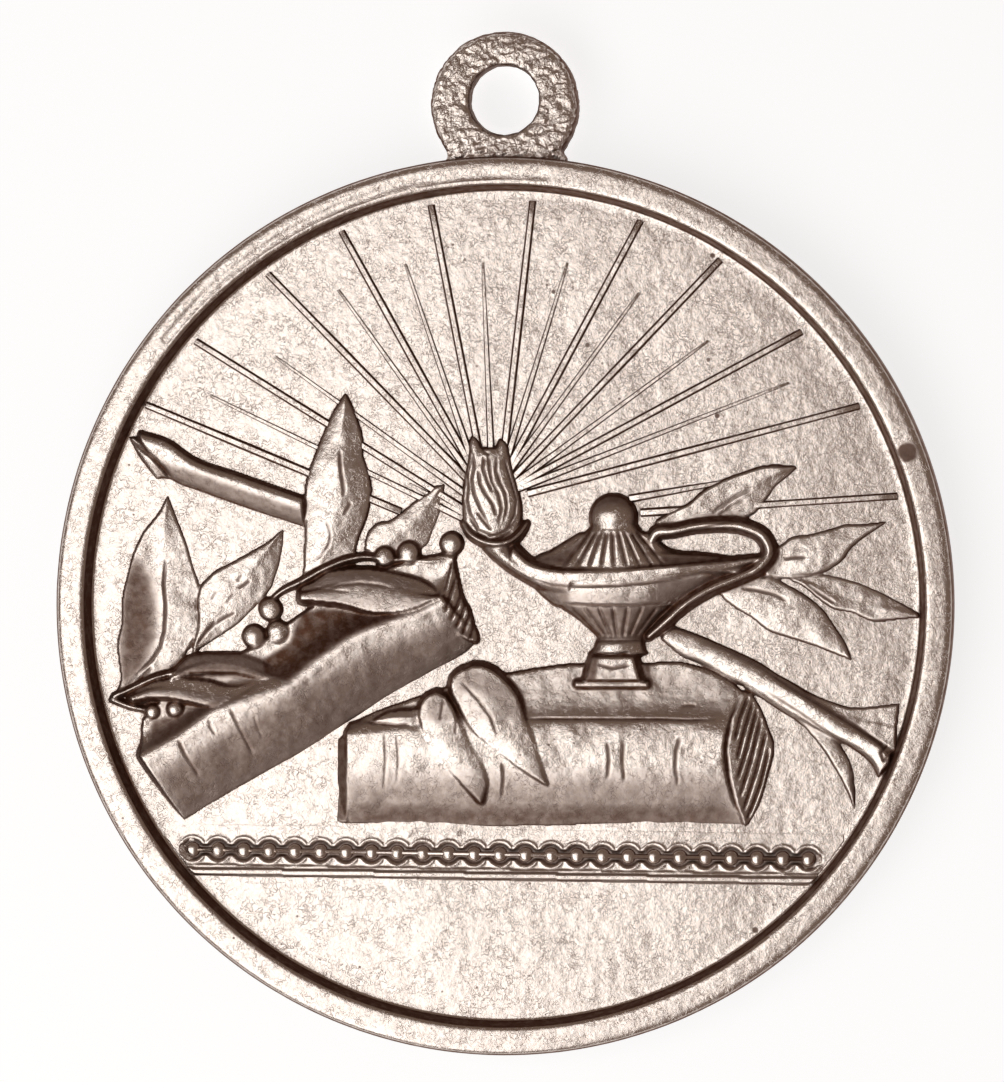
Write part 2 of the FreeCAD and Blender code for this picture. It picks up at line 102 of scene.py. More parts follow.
def shoulder(out, top, sign):
    """Points round an outer edge: from the rim's flat to the side, or back for sign -1."""
    turns = [math.radians(angle) for angle in (90, 75, 60, 45, 30, 15, 0)]
    points = [(out - SHOULDER_R * (1 - math.cos(a)), top + sign * SHOULDER_R * (1 - math.sin(a)))
              for a in turns]
    return points if sign > 0 else points[::-1]


def swell(place, sizes):
    """Adds up smooth noises, each given as (size, depth)."""
    return sum(depth * noise.noise(place / size) for size, depth in sizes)


edge_r = DISC_R - EDGE_MARGIN
flan_profile = [(0.4, BACK_FIELD_Z), (5, BACK_FIELD_Z), (10, BACK_FIELD_Z), (14.0, BACK_FIELD_Z),
                (14.7, BACK_FIELD_Z), (FIELD_R, BACK_FIELD_Z - 0.03), (14.86, 0.04), (14.93, 0.0)]
flan_profile += shoulder(edge_r, 0.0, 1)
flan_profile += [(edge_r, SHOULDER_R + (RIM_TOP - 2 * SHOULDER_R) * i / 8) for i in range(1, 8)]
flan_profile += shoulder(edge_r, RIM_TOP, -1)
flan_profile += [(15.6, RIM_TOP), (15.45, RIM_TOP), (15.3, RIM_TOP), (15.16, RIM_TOP),
                 (15.09, 2.592), (15.03, 2.565), (14.98, 2.51), (14.94, 2.42), (14.90, 2.25),
                 (14.85, 2.0), (14.80, 1.80), (FIELD_R, 1.762), (14.70, FIELD_Z)]
flan_profile += [(14.5 - 0.25 * i, FIELD_Z) for i in range(57)] + [(0.3, FIELD_Z)]
start()
bpy.ops.mesh.primitive_circle_add(vertices=TURN_STEPS, radius=flan_profile[0][0], fill_type="NGON",
                                  location=(0, 0, flan_profile[0][1]))
flan = bpy.context.object
bpy.ops.object.transform_apply(location=True)
bpy.ops.object.mode_set(mode="EDIT")
bpy.ops.mesh.select_all(action="SELECT")
for (r0, z0), (r1, z1) in zip(flan_profile, flan_profile[1:]):
    bpy.ops.mesh.extrude_region_move(TRANSFORM_OT_translate={"value": (0, 0, z1 - z0)})
    bpy.ops.transform.resize(value=(r1 / r0, r1 / r0, 1), center_override=(0, 0, 0))
bpy.ops.object.mode_set(mode="OBJECT")

# Low waves in the field, a dip under the border's bed, and a worn, dented and grooved rim.
rim_foot = FIELD_R - 0.01
for vertex in flan.data.vertices:
    x, y, z = vertex.co
    r = math.hypot(x, y)
    if z > 1.5 and r < rim_foot:
        vertex.co.z += swell(Vector((x, y, FIELD_Z)), FIELD_WAVES) * min(1, FIELD_R - r)
        if abs(y - BORDER_Y) < BORDER_HALF and r < BORDER_END_R:
            vertex.co.z -= BORDER_SINK
    elif z > 1.0 and r > rim_foot:
        push = swell(vertex.co, RIM_LUMPS)
        if z > RIM_TOP - 0.02:
            vertex.co.z -= RIM_WEAR + RIM_DENTS * abs(push)
        turn = math.degrees(math.atan2(y, x)) % 360
        if GROOVE_START < turn < GROOVE_END and GROOVE_IN < r < GROOVE_OUT:
            wander = GROOVE_WANDER * noise.noise((turn / WANDER_TURN, 0, 0))
            vertex.co.z -= GROOVE_DEPTH * max(0, 1 - abs(r - GROOVE_R - wander) / GROOVE_HALF)
        shrink = 1 - (SIDE_WEAR + push * SIDE_DENTS) / r
        vertex.co.x *= shrink
        vertex.co.y *= shrink


class Wiring:
    """Adds nodes to a node tree, each input set to a value or wired to a socket."""

    def __init__(self, tree):
        self.nodes, self.links = tree.nodes, tree.links

    def feed(self, socket, value):
        if isinstance(value, bpy.types.NodeSocket):
            self.links.new(value, socket)
        else:
            socket.default_value = value

    def add(self, kind, inputs, **settings):
        node = self.nodes.new("ShaderNode" + kind)
        for name, value in settings.items():
            setattr(node, name, value)
        for label, value in inputs.items():
            self.feed(node.inputs[label], value)
        return node

    def math(self, operation, first, second=0.0, clamp=False):
        node = self.add("Math", {0: first, 1: second}, operation=operation, use_clamp=clamp)
        return node.outputs[0]

    def mapped(self, value, low_in, high_in, low_out=0.0, high_out=1.0):
        ends = {"From Min": low_in, "From Max": high_in, "To Min": low_out, "To Max": high_out}
        return self.add("MapRange", {"Value": value, **ends}, interpolation_type="SMOOTHSTEP").outputs[0]

    def noise(self, place, size, detail=3.0, roughness=0.55, distortion=0.0):
        look = {"Detail": detail, "Roughness": roughness, "Distortion": distortion}
        return self.add("TexNoise", {"Vector": place, "Scale": 1.0 / (size * MM), **look}).outputs["Fac"]

    def mixed(self, share, first, second):
        colours = {"Factor": share, "A": first, "B": second}
        return self.add("Mix", colours, data_type="RGBA").outputs["Result"]


def new_group(name, inputs, outputs):
    """A node group with its named inputs, their values at first, and its named outputs."""
    group = bpy.data.node_groups.new(name, "ShaderNodeTree")
    for label, value in inputs.items():
        socket = group.interface.new_socket(name=label, in_out="INPUT", socket_type="NodeSocketFloat")
        socket.default_value = value
    for label in outputs:
        group.interface.new_socket(name=label, in_out="OUTPUT", socket_type="NodeSocketFloat")
    given = group.nodes.new("NodeGroupInput").outputs
    result = group.nodes.new("NodeGroupOutput").inputs
    return group, Wiring(group), given, result


def toning_and_shade_group():
    """Brown patina in hollows, brown painted shade on steep walls, and the patina and painted shade marked
    on a piece.
    """
    group, wiring, given, result = new_group("brown patina and painted shade", {"Reach": 0.35, "Stain": 0.0}, ["Toning"])
    place = wiring.add("TexCoord", {}).outputs
    reach = wiring.math("MULTIPLY", given["Reach"], MM)
    hollow = wiring.add("AmbientOcclusion", {"Distance": reach}, samples=5)
    closed = wiring.mapped(hollow.outputs["AO"], 0.72, 0.38)
    upright = wiring.add("SeparateXYZ", {0: place["Normal"]}).outputs["Z"]
    # Painted shade: steep walls are darkened for their slope alone.
    steep = wiring.mapped(wiring.math("ABSOLUTE", upright), 0.78, 0.50)
    uneven = wiring.mapped(wiring.noise(place["Object"], 0.30, 4.0), 0.30, 0.70, 0.88, 1.08)
    total = wiring.math("MAXIMUM", closed, steep)
    total = wiring.math("MAXIMUM", total, given["Stain"])
    wiring.feed(result["Toning"], wiring.math("MULTIPLY", total, uneven, clamp=True))
    return group


def grain_group():
    """The struck skin's fine grain: its height, its shades, its rare pits and its fine hairs."""
    group, wiring, given, result = new_group("metal grain", {"Coarse": 0.0},
                                             ["Height", "Shade", "Pits", "Hairs"])
    place = wiring.add("TexCoord", {}).outputs["Object"]
    fine = wiring.noise(place, 0.16, 4.0, 0.6)
    wide = wiring.noise(place, 0.60, 3.0, 0.5)
    coarse = wiring.noise(place, 0.30, 3.0, 0.6)
    height = wiring.math("ADD", wiring.math("MULTIPLY", fine, 0.34),
                         wiring.math("MULTIPLY", wide, 1.10))
    height = wiring.math("ADD", height, wiring.math("MULTIPLY", coarse, given["Coarse"]))
    cells = wiring.add("TexVoronoi", {"Vector": place, "Scale": 1.0 / (0.42 * MM)})
    pit = wiring.mapped(cells.outputs["Distance"], 0.16, 0.06)
    rare = wiring.mapped(wiring.noise(place, 1.3, 2.0), 0.50, 0.66)
    twist = wiring.noise(place, 0.21, 2.5, 0.5, 0.9)
    off_line = wiring.math("ABSOLUTE", wiring.math("SUBTRACT", twist, 0.5))
    hair = wiring.math("MULTIPLY", wiring.mapped(off_line, 0.045, 0.005),
                       wiring.mapped(wiring.noise(place, 0.5, 3.0), 0.34, 0.70))
    wiring.feed(result["Hairs"], hair)
    wiring.feed(result["Height"], wiring.math("SUBTRACT", height, wiring.math("MULTIPLY", hair, 0.25)))
    wiring.feed(result["Shade"], wiring.mapped(fine, 0.30, 0.72))
    wiring.feed(result["Pits"], wiring.math("MULTIPLY", pit, rare))
    return group


TONING_AND_SHADE, GRAIN = toning_and_shade_group(), grain_group()
# BROWN is the patina's colour and also the colour of the painted shade.
BRIGHT, WARM, BROWN = (0.95, 0.872, 0.815, 1), (0.87, 0.765, 0.69, 1), (0.165, 0.080, 0.050, 1)
TONED_ROUGHNESS = 0.62
Spot = namedtuple("Spot", "x y z r strength")


def white_metal(name, bump, roughness, reach, coarse=0.0, lined_and_shaded=False, spots=()):
    """A pale alloy with a warm cast: brown patina in its hollows, marked lines and spots, and brown painted
    shade on its steep walls and marked areas.
    """
    material = bpy.data.materials.new(name)
    material.use_nodes = True
    metal = material.node_tree.nodes["Principled BSDF"]
    metal.inputs["Metallic"].default_value = 1.0
    wiring = Wiring(material.node_tree)
    grain = wiring.add("Group", {}, node_tree=GRAIN)
    grain.inputs["Coarse"].default_value = coarse
    toning_and_shade = wiring.add("Group", {}, node_tree=TONING_AND_SHADE)
    toning_and_shade.inputs["Reach"].default_value = reach
    if lined_and_shaded:
        mark = wiring.add("Attribute", {}, attribute_name="stain")
        wiring.feed(toning_and_shade.inputs["Stain"], mark.outputs["Fac"])
    body = wiring.mixed(grain.outputs["Shade"], WARM, BRIGHT)
    pits = wiring.math("MULTIPLY", grain.outputs["Pits"], 0.7)
    hairs = wiring.math("MULTIPLY", grain.outputs["Hairs"], 0.19)
    dark = wiring.math("MAXIMUM", toning_and_shade.outputs["Toning"], pits)
    dark = wiring.math("MAXIMUM", dark, hairs)
    for spot in spots:
        r = spot.r * MM
        middle = (spot.x * MM, (spot.y + DISC_Y) * MM, spot.z * MM)
        place = wiring.add("TexCoord", {}).outputs["Object"]
        away = wiring.add("VectorMath", {0: place, 1: middle}, operation="DISTANCE").outputs["Value"]
        ragged = wiring.math("MULTIPLY", wiring.noise(place, max(0.06, spot.r * 0.8)), r * 0.7)
        ragged = wiring.math("ADD", away, ragged)
        dark = wiring.math("MAXIMUM", dark, wiring.mapped(ragged, r * 1.65, r * 1.15, 0.0, spot.strength))
    wiring.feed(metal.inputs["Base Color"], wiring.mixed(dark, body, BROWN))
    wiring.feed(metal.inputs["Roughness"], wiring.mapped(dark, 0.0, 1.0, roughness, TONED_ROUGHNESS))
    relief = wiring.add("Bump", {"Height": grain.outputs["Height"], "Distance": bump * MM,
                                 "Strength": 1.0})
    wiring.feed(metal.inputs["Normal"], relief.outputs["Normal"])
    return material


SPOTS = [Spot(14.34, 5.49, RIM_TOP, 0.34, 0.85), Spot(6.87, -8.24, FIELD_Z, 0.13, 0.90),
         Spot(8.94, -11.51, FIELD_Z, 0.10, 0.80), Spot(7.41, 12.46, FIELD_Z, 0.08, 0.80),
         Spot(1.75, 11.18, FIELD_Z, 0.07, 0.70), Spot(2.96, 9.29, FIELD_Z, 0.08, 0.70),
         Spot(7.26, 8.76, FIELD_Z, 0.07, 0.70), Spot(7.58, 6.77, FIELD_Z, 0.08, 0.80)]
finish_piece(flan, "flan", white_metal("struck white metal, spotted", 0.024, 0.26, 0.14, spots=SPOTS))

# The suspension ear: cast on in one piece with the flan, a round plate with a drilled hole, on a
# short neck that runs out on the flan's side. Its faces kept the coarse skin of the casting.
EAR_R, HOLE_R = 2.65, 1.22
EAR_Y, HOLE_Y = high.y / MM - DISC_Y - EAR_R, 18.0
EAR_BOTTOM, EAR_TOP = 0.42, 2.1
EAR_MIDDLE = (EAR_BOTTOM + EAR_TOP) / 2
EAR_VOXEL = 0.05
EAR_PITS, PIT_SIZE, PIT_SHARE, CREASE_SHARPNESS = 0.030, 0.17, 0.35, 0.20
EAR_SHRINK = 0.01            # keeps the rough skin inside the plate's true size
CAST_LUMP = np.array([0.50, 0.30, 0.40])
Ring = namedtuple("Ring", "r z share")      # share 0 is round the hole's centre, 1 the plate's
WASHER = [Ring(HOLE_R, 0.62, 0), Ring(1.25, 0.5, 0), Ring(1.36, EAR_BOTTOM, 0.05),
          Ring(2.40, EAR_BOTTOM, 1), Ring(2.55, 0.48, 1), Ring(2.635, 0.65, 1), Ring(2.635, 1.25, 1),
          Ring(2.635, 1.85, 1), Ring(2.55, 2.03, 1), Ring(2.40, EAR_TOP, 1),
          Ring(1.38, EAR_TOP, 0.05), Ring(1.27, 2.05, 0), Ring(HOLE_R, 1.92, 0)]


def pick(test):
    """Selects the points whose place passes a test, in edit mode."""
    shape = bmesh.from_edit_mesh(bpy.context.object.data)
    bpy.ops.mesh.select_mode(type="VERT")
    for point in shape.verts:
        point.select = test(point.co)
    shape.select_flush_mode()
    bmesh.update_edit_mesh(bpy.context.object.data)


def join(forms):
    """Makes several forms one object, the first one's."""
    start()
    for form in forms:
        form.select_set(True)
    bpy.context.view_layer.objects.active = forms[0]
    bpy.ops.object.join()
    return bpy.context.object


def apply_all(piece):
    """Applies every modifier of a piece, in their order."""
    alone(piece)
    for modifier in list(piece.modifiers):
        bpy.ops.object.modifier_apply(modifier=modifier.name)


start()
bpy.ops.mesh.primitive_circle_add(vertices=96, radius=HOLE_R, fill_type="NOTHING",
                                  location=(0, HOLE_Y, WASHER[0].z))
plate = bpy.context.object
bpy.ops.object.transform_apply(location=True)
bpy.ops.object.mode_set(mode="EDIT")
bpy.ops.mesh.select_all(action="SELECT")
for before, after in zip(WASHER, WASHER[1:]):
    grow = after.r / before.r
    middle = HOLE_Y + (EAR_Y - HOLE_Y) * before.share
    shift = (EAR_Y - HOLE_Y) * (after.share - before.share)
    bpy.ops.mesh.extrude_edges_move(TRANSFORM_OT_translate={"value": (0, 0, after.z - before.z)})
    bpy.ops.transform.resize(value=(grow, grow, 1), center_override=(0, middle, 0))
    bpy.ops.transform.translate(value=(0, shift, 0))
bpy.ops.mesh.select_non_manifold()
bpy.ops.mesh.bridge_edge_loops()
bpy.ops.mesh.select_all(action="SELECT")
bpy.ops.mesh.normals_make_consistent(inside=False)
bpy.ops.object.mode_set(mode="OBJECT")

NECK_Y, NECK_WIDTH, NECK_LENGTH, NECK_THICKNESS = 15.95, 4.1, 1.3, 1.5
NECK_FOOT, FOOT_FLARE, FOOT_THINNING, MIDDLE_FLARE = NECK_Y - 0.25, 1.22, 0.94, 1.08
start()
bpy.ops.mesh.primitive_cube_add(size=1, location=(0, NECK_Y, EAR_MIDDLE),
                                scale=(NECK_WIDTH, NECK_LENGTH, NECK_THICKNESS))
neck = bpy.context.object
bpy.ops.object.transform_apply(location=True, scale=True)
bpy.ops.object.mode_set(mode="EDIT")
bpy.ops.mesh.select_all(action="SELECT")
bpy.ops.mesh.subdivide(number_cuts=5)
pick(lambda co: co.y < NECK_FOOT)
bpy.ops.transform.resize(value=(FOOT_FLARE, 1, FOOT_THINNING), center_override=(0, 0, EAR_MIDDLE))
pick(lambda co: NECK_FOOT < co.y < NECK_Y)
bpy.ops.transform.resize(value=(MIDDLE_FLARE, 1, 1), center_override=(0, 0, EAR_MIDDLE))

ear = join([plate, neck])
one_skin = ear.modifiers.new("skin", "REMESH")
one_skin.mode = "VOXEL"
one_skin.voxel_size = EAR_VOXEL
soften = ear.modifiers.new("soften", "SMOOTH")
soften.iterations = 3
soften.factor = 0.5
apply_all(ear)
points = np.empty(len(ear.data.vertices) * 3)
normals = points.copy()
ear.data.vertices.foreach_get("co", points)
ear.data.vertices.foreach_get("normal", normals)
points, normals = points.reshape(-1, 3), normals.reshape(-1, 3)
lumps = np.array([noise.noise(point / CAST_LUMP) for point in points])
small = np.array([noise.noise(point / PIT_SIZE) for point in points])
creases = np.exp(-(lumps / CREASE_SHARPNESS) ** 2)
points += normals * (EAR_PITS * (PIT_SHARE * small - creases) - EAR_SHRINK)[:, None]
ear.data.vertices.foreach_set("co", points.ravel())
finish_piece(ear, "suspension_ear", white_metal("cast white metal", 0.050, 0.28, 0.12, coarse=1.2))


# The laurel and the leaning book: raised from the flan in one blow, so they are its own metal. Each
# form is shaped whole, a fine sheet is pressed down on all of them as metal is into a die, its walls
# are sloped so that it leaves the die, and veins, folds and page lines are cut into it.
WALL_SLOPE, WALL_ROUNDS = 3.0, 12
BED = -0.35                  # how far under the field the forms stand while they are pressed
SHEET_EDGE, SHEET_ROOT = -0.06, -0.30
TRIANGLES = 190000           # what one pressed piece is thinned to
EDGE_WEAR = 0.035            # width over which the blow rounds an edge
LINE_FADE, FADE_POWER = 0.12, 0.6           # share of a line that fades at each end, and how
MARK_SPREAD = 1.15           # how much wider than a line its toning is
# Painted shade on walls steeper than STEEP_START, darkened for their slope alone.
STEEP_START, STEEP_RUN, STEEP_AMOUNT = 0.70, 0.6, 0.85
Hollow = namedtuple("Hollow", "width depth start amount")
HOLLOWS = [Hollow(0.05, 0.020, 0.25, 1.0), Hollow(0.30, 0.16, 0.1, 0.45)]
Line = namedtuple("Line", "points width depth stain")
# An area darkened as painted shade, where a form turns from the light.
PaintedShade = namedtuple("PaintedShade", "outline amount edge")
Leaf = namedtuple("Leaf", "left rib right left_edge crest right_edge left_puff right_puff")
Berry = namedtuple("Berry", "x y r sink")


def blur(field, cells):
    """A Gaussian blur, its width given in cells."""
    reach = int(math.ceil(cells * 3))
    weights = np.exp(-0.5 * (np.arange(-reach, reach + 1) / cells) ** 2)
    weights /= weights.sum()
    for axis in (0, 1):
        padded = np.pad(field, [(reach, reach) if a == axis else (0, 0) for a in (0, 1)], mode="edge")
        field = sum(w * np.take(padded, range(i, i + field.shape[axis]), axis=axis)
                    for i, w in enumerate(weights))
    return field


class Sheet:
    """Heights over the field, and its patina and painted shade, on a square net that covers a region of the
    picture.
    """

    def __init__(self, left, right, bottom, top, cell):
        self.cell, self.left, self.bottom = cell, left, bottom
        self.nx, self.ny = int((right - left) / cell) + 1, int((top - bottom) / cell) + 1
        self.x = left + cell * np.arange(self.nx)
        self.y = bottom + cell * np.arange(self.ny)
        self.stain = np.zeros((self.ny, self.nx))

    def points(self, height):
        """The net's points, each at its height."""
        points = np.empty((self.ny, self.nx, 3))
        points[..., 0], points[..., 1], points[..., 2] = self.x[None, :], self.y[:, None], height
        return points.ravel()

    def press(self, forms):
        """Drops the sheet on forms that stand on a flat bed."""
        middle = ((self.x[0] + self.x[-1]) / 2, (self.y[0] + self.y[-1]) / 2)
        start()
        bpy.ops.mesh.primitive_plane_add(size=80, location=(*middle, BED))
        forms = join(forms + [bpy.context.object])
        start()
        bpy.ops.mesh.primitive_grid_add(x_subdivisions=self.nx - 1, y_subdivisions=self.ny - 1, size=1)
        self.net = bpy.context.object
        self.net.data.vertices.foreach_set("co", self.points(5.0))
        wrap = self.net.modifiers.new("press", "SHRINKWRAP")
        wrap.target = forms
        wrap.wrap_method = "PROJECT"
        wrap.use_project_z = True
        wrap.use_negative_direction = True
        wrap.use_positive_direction = False
        apply_all(self.net)
        pressed = np.empty(self.ny * self.nx * 3)
        self.net.data.vertices.foreach_get("co", pressed)
        self.height = pressed.reshape(self.ny, self.nx, 3)[..., 2].copy()
        bpy.data.objects.remove(forms)

    def draft(self, rounds):
        """Gives every wall at least the slope that lets the metal leave the die."""
        steps = [(0, 1), (0, -1), (1, 0), (-1, 0), (1, 1), (1, -1), (-1, 1), (-1, -1)]
        for _ in range(rounds):
            for dy, dx in steps:
                moved = np.roll(self.height, (dy, dx), (0, 1))
                moved -= WALL_SLOPE * self.cell * math.hypot(dx, dy)
                self.height = np.maximum(self.height, moved)

    def soften(self, width):
        self.height = blur(self.height, width / self.cell)

    def roughen(self, size, depth, seed):
        """Low swells, as a worn surface has."""
        grain = np.random.default_rng(seed).normal(size=self.height.shape)
        grain = blur(grain, size / self.cell)
        self.height += depth * grain / grain.std()

    def distance(self, points, reach):
        """Distance to a path, and how far along it from its ends, inside its window."""
        points = np.asarray(points, float)
        x0, y0 = points.min(0) - reach
        x1, y1 = points.max(0) + reach
        i0, i1 = np.searchsorted(self.x, (x0, x1))
        j0, j1 = np.searchsorted(self.y, (y0, y1))
        x, y = np.meshgrid(self.x[i0:i1], self.y[j0:j1])
        best = np.full(x.shape, 1e9)
        along = np.zeros(x.shape)
        run = 0.0
        for (ax, ay), (bx, by) in zip(points, points[1:]):
            length = math.hypot(bx - ax, by - ay)
            t = np.clip(((x - ax) * (bx - ax) + (y - ay) * (by - ay)) / length ** 2, 0, 1)
            gap = np.hypot(x - ax - t * (bx - ax), y - ay - t * (by - ay))
            nearer = gap < best
            best[nearer] = gap[nearer]
            along[nearer] = (run + t * length)[nearer]
            run += length
        return (slice(j0, j1), slice(i0, i1)), best, np.minimum(along, run - along) / run

    def cut(self, lines):
        """Cuts lines into the sheet, deepest in their middle and fading at their ends."""
        for line in lines:
            window, gap, share = self.distance(line.points, line.width * 3)
            fade = np.clip(share / LINE_FADE, 0.0, 1.0) ** FADE_POWER
            self.height[window] -= line.depth * fade * np.exp(-(gap / line.width) ** 2)
            mark = line.stain * fade * np.exp(-(gap / (line.width * MARK_SPREAD)) ** 2)
            self.stain[window] = np.maximum(self.stain[window], mark)

    def tarnish_and_shade(self):
        """Marks painted shade on the steep walls, and patina at their feet and in wide hollows."""
        across, along = np.gradient(self.height, self.cell)
        # Painted shade: the steep walls are darkened for their slope alone.
        steep = np.clip((np.hypot(across, along) - STEEP_START) / STEEP_RUN, 0, 1)
        self.stain = np.maximum(self.stain, STEEP_AMOUNT * steep)
        for hollow in HOLLOWS:
            below = blur(self.height, hollow.width / self.cell) - self.height
            mark = hollow.amount * np.clip(below / hollow.depth - hollow.start, 0, 1)
            self.stain = np.maximum(self.stain, mark)

    def inside(self, outline):
        """Which points of the net lie inside a closed outline."""
        x, y = np.meshgrid(self.x, self.y)
        found = np.zeros(x.shape, bool)
        for (ax, ay), (bx, by) in zip(outline, outline[1:] + outline[:1]):
            if ay != by:
                found ^= ((ay > y) != (by > y)) & (x < (bx - ax) * (y - ay) / (by - ay) + ax)
        return found

    def paint_shade(self, row):
        """Darkens an area with painted shade, its edge softened."""
        area = blur(self.inside(row.outline) * 1.0, row.edge / self.cell)
        self.stain = np.maximum(self.stain, row.amount * area)

    def strike(self, forms, swells, lines, painted_shades):
        """The whole blow: forms, sloped walls, worn swells (size, depth, seed), lines, patina and painted
        shade.
        """
        self.press(forms)
        self.draft(WALL_ROUNDS)
        self.soften(EDGE_WEAR)
        for size, depth, seed in swells:
            self.roughen(size, depth, seed)
        self.cut(lines)
        self.tarnish_and_shade()
        for row in painted_shades:
            self.paint_shade(row)

    def patina_and_shade_at(self, places):
        """The patina and painted shade at points of the finished mesh, between the net's points."""
        i = np.clip((places[:, 0] - self.left) / self.cell, 0, self.nx - 1.001)
        j = np.clip((places[:, 1] - self.bottom) / self.cell, 0, self.ny - 1.001)
        i0, j0 = i.astype(int), j.astype(int)
        u, v = i - i0, j - j0
        s = self.stain
        return ((s[j0, i0] * (1 - u) + s[j0, i0 + 1] * u) * (1 - v)
                + (s[j0 + 1, i0] * (1 - u) + s[j0 + 1, i0 + 1] * u) * v)

    def to_mesh(self, keep):
        """The sheet as a closed piece, cut off where keep is false and walled down to its root."""
        piece = self.net
        piece.data.vertices.foreach_set("co", self.points(FIELD_Z + self.height))
        alone(piece)
        bpy.ops.object.mode_set(mode="EDIT")
        bpy.ops.mesh.select_mode(type="VERT")
        bpy.ops.mesh.select_all(action="DESELECT")
        bpy.ops.object.mode_set(mode="OBJECT")
        piece.data.vertices.foreach_set("select", ~keep.ravel())
        bpy.ops.object.mode_set(mode="EDIT")
        bpy.ops.mesh.delete(type="VERT")
        bpy.ops.mesh.select_all(action="DESELECT")
        bpy.ops.mesh.select_mode(type="EDGE")
        bpy.ops.mesh.select_non_manifold()
        bpy.ops.mesh.extrude_edges_move(TRANSFORM_OT_translate={"value": (0, 0, -1)})
        bpy.ops.transform.resize(value=(1, 1, 0), center_override=(0, 0, FIELD_Z + SHEET_ROOT))
        bpy.ops.mesh.fill(use_beauty=False)
        bpy.ops.object.mode_set(mode="OBJECT")
        triangles = sum(len(face.vertices) - 2 for face in piece.data.polygons)
        if triangles > TRIANGLES:
            thin = piece.modifiers.new("thin", "DECIMATE")
            thin.ratio = TRIANGLES / triangles
            apply_all(piece)
        places = np.empty(len(piece.data.vertices) * 3)
        piece.data.vertices.foreach_get("co", places)
        mark = piece.data.attributes.new("stain", "FLOAT", "POINT")
        mark.data.foreach_set("value", self.patina_and_shade_at(places.reshape(-1, 3)).astype(np.float32))
        return piece


def through(points, count):
    """Evenly spaced points on a smooth curve through the given ones."""
    points = np.asarray(points, float)
    steps = np.sqrt((np.diff(points, axis=0) ** 2).sum(1))
    run = np.concatenate([[0], np.cumsum(np.maximum(steps, 1e-9))])
    places = np.linspace(0, run[-1], count)
    slopes = np.gradient(points, run, axis=0)
    k = np.clip(np.searchsorted(run, places, side="right") - 1, 0, len(run) - 2)
    span = (run[k + 1] - run[k])[:, None]
    t = (places - run[k])[:, None] / span
    start_part = (2 * t ** 3 - 3 * t ** 2 + 1) * points[k] + (t ** 3 - 2 * t ** 2 + t) * slopes[k] * span
    end_part = (3 * t ** 2 - 2 * t ** 3) * points[k + 1] + (t ** 3 - t ** 2) * slopes[k + 1] * span
    return start_part + end_part


def net(rows):
    """A patch from rows of (x, y, height) points, all equally long."""
    start()
    bpy.ops.mesh.primitive_grid_add(x_subdivisions=len(rows[0]) - 1, y_subdivisions=len(rows) - 1,
                                    size=1)
    patch = bpy.context.object
    patch.data.vertices.foreach_set("co", np.asarray(rows, float).ravel())
    return patch


def skin(lines, along, across):
    """A patch over lines that run the same way; each is (points, heights along it)."""
    rows = []
    for points, heights in lines:
        lift = np.interp(np.linspace(0, 1, along), np.linspace(0, 1, len(heights)), heights)
        rows.append(np.column_stack([through(points, along), lift]))
    columns = [through([row[i] for row in rows], across) for i in range(along)]
    return net([[column[j] for column in columns] for j in range(across)])


def band(path, half_widths, crests, count=60, roundness=0.5):
    """A rounded bar along a path, with its half width and its crest height on the way."""
    foot = -0.05
    line = through([(x, y, w, c) for (x, y), w, c in zip(path, half_widths, crests)], count)
    side = np.gradient(line[:, :2], axis=0)
    side = np.column_stack([-side[:, 1], side[:, 0]]) / np.hypot(side[:, 0], side[:, 1])[:, None]
    rows = []
    for u in np.sin(np.linspace(-math.pi / 2, math.pi / 2, 13)):
        place = line[:, :2] + side * line[:, 2:3] * u
        rows.append(np.column_stack([place, foot + (line[:, 3] - foot) * (1 - u * u) ** roundness]))
    return net(rows)


def leaf(row):
    """A leaf between its two edges and its rib, which run from its base to its tip."""
    left, rib, right = (through(line, 40) for line in (row.left, row.rib, row.right))
    t = np.linspace(0, 1, 40)
    rows = []
    for u in np.linspace(-1, 1, 17):
        edge, height, puff = ((left, row.left_edge, row.left_puff) if u < 0
                              else (right, row.right_edge, row.right_puff))
        share = abs(u)
        crest = height + (row.crest - height) * (0.25 + 0.75 * np.sin(math.pi * t) ** 0.7)
        lift = crest * (1 - share) + height * share + puff * 4 * share * (1 - share) * np.sin(math.pi * t)
        rows.append(np.column_stack([rib * (1 - share) + edge * share, lift]))
    return net(rows)


def ball(x, y, r, sink, flat):
    """A flattened ball that stands a little over the field."""
    start()
    bpy.ops.mesh.primitive_uv_sphere_add(segments=32, ring_count=16, radius=r, location=(x, y, sink),
                                         scale=(1, 1, flat))
    bpy.ops.object.transform_apply(location=True, scale=True)
    return bpy.context.object


def sloped(top, foot, shares):
    """Lines between a book's crest and its foot, by (share of the way, height)."""
    top, foot = through(top, 60), through(foot, 60)
    return [(top * (1 - share) + foot * share, [height]) for share, height in shares]


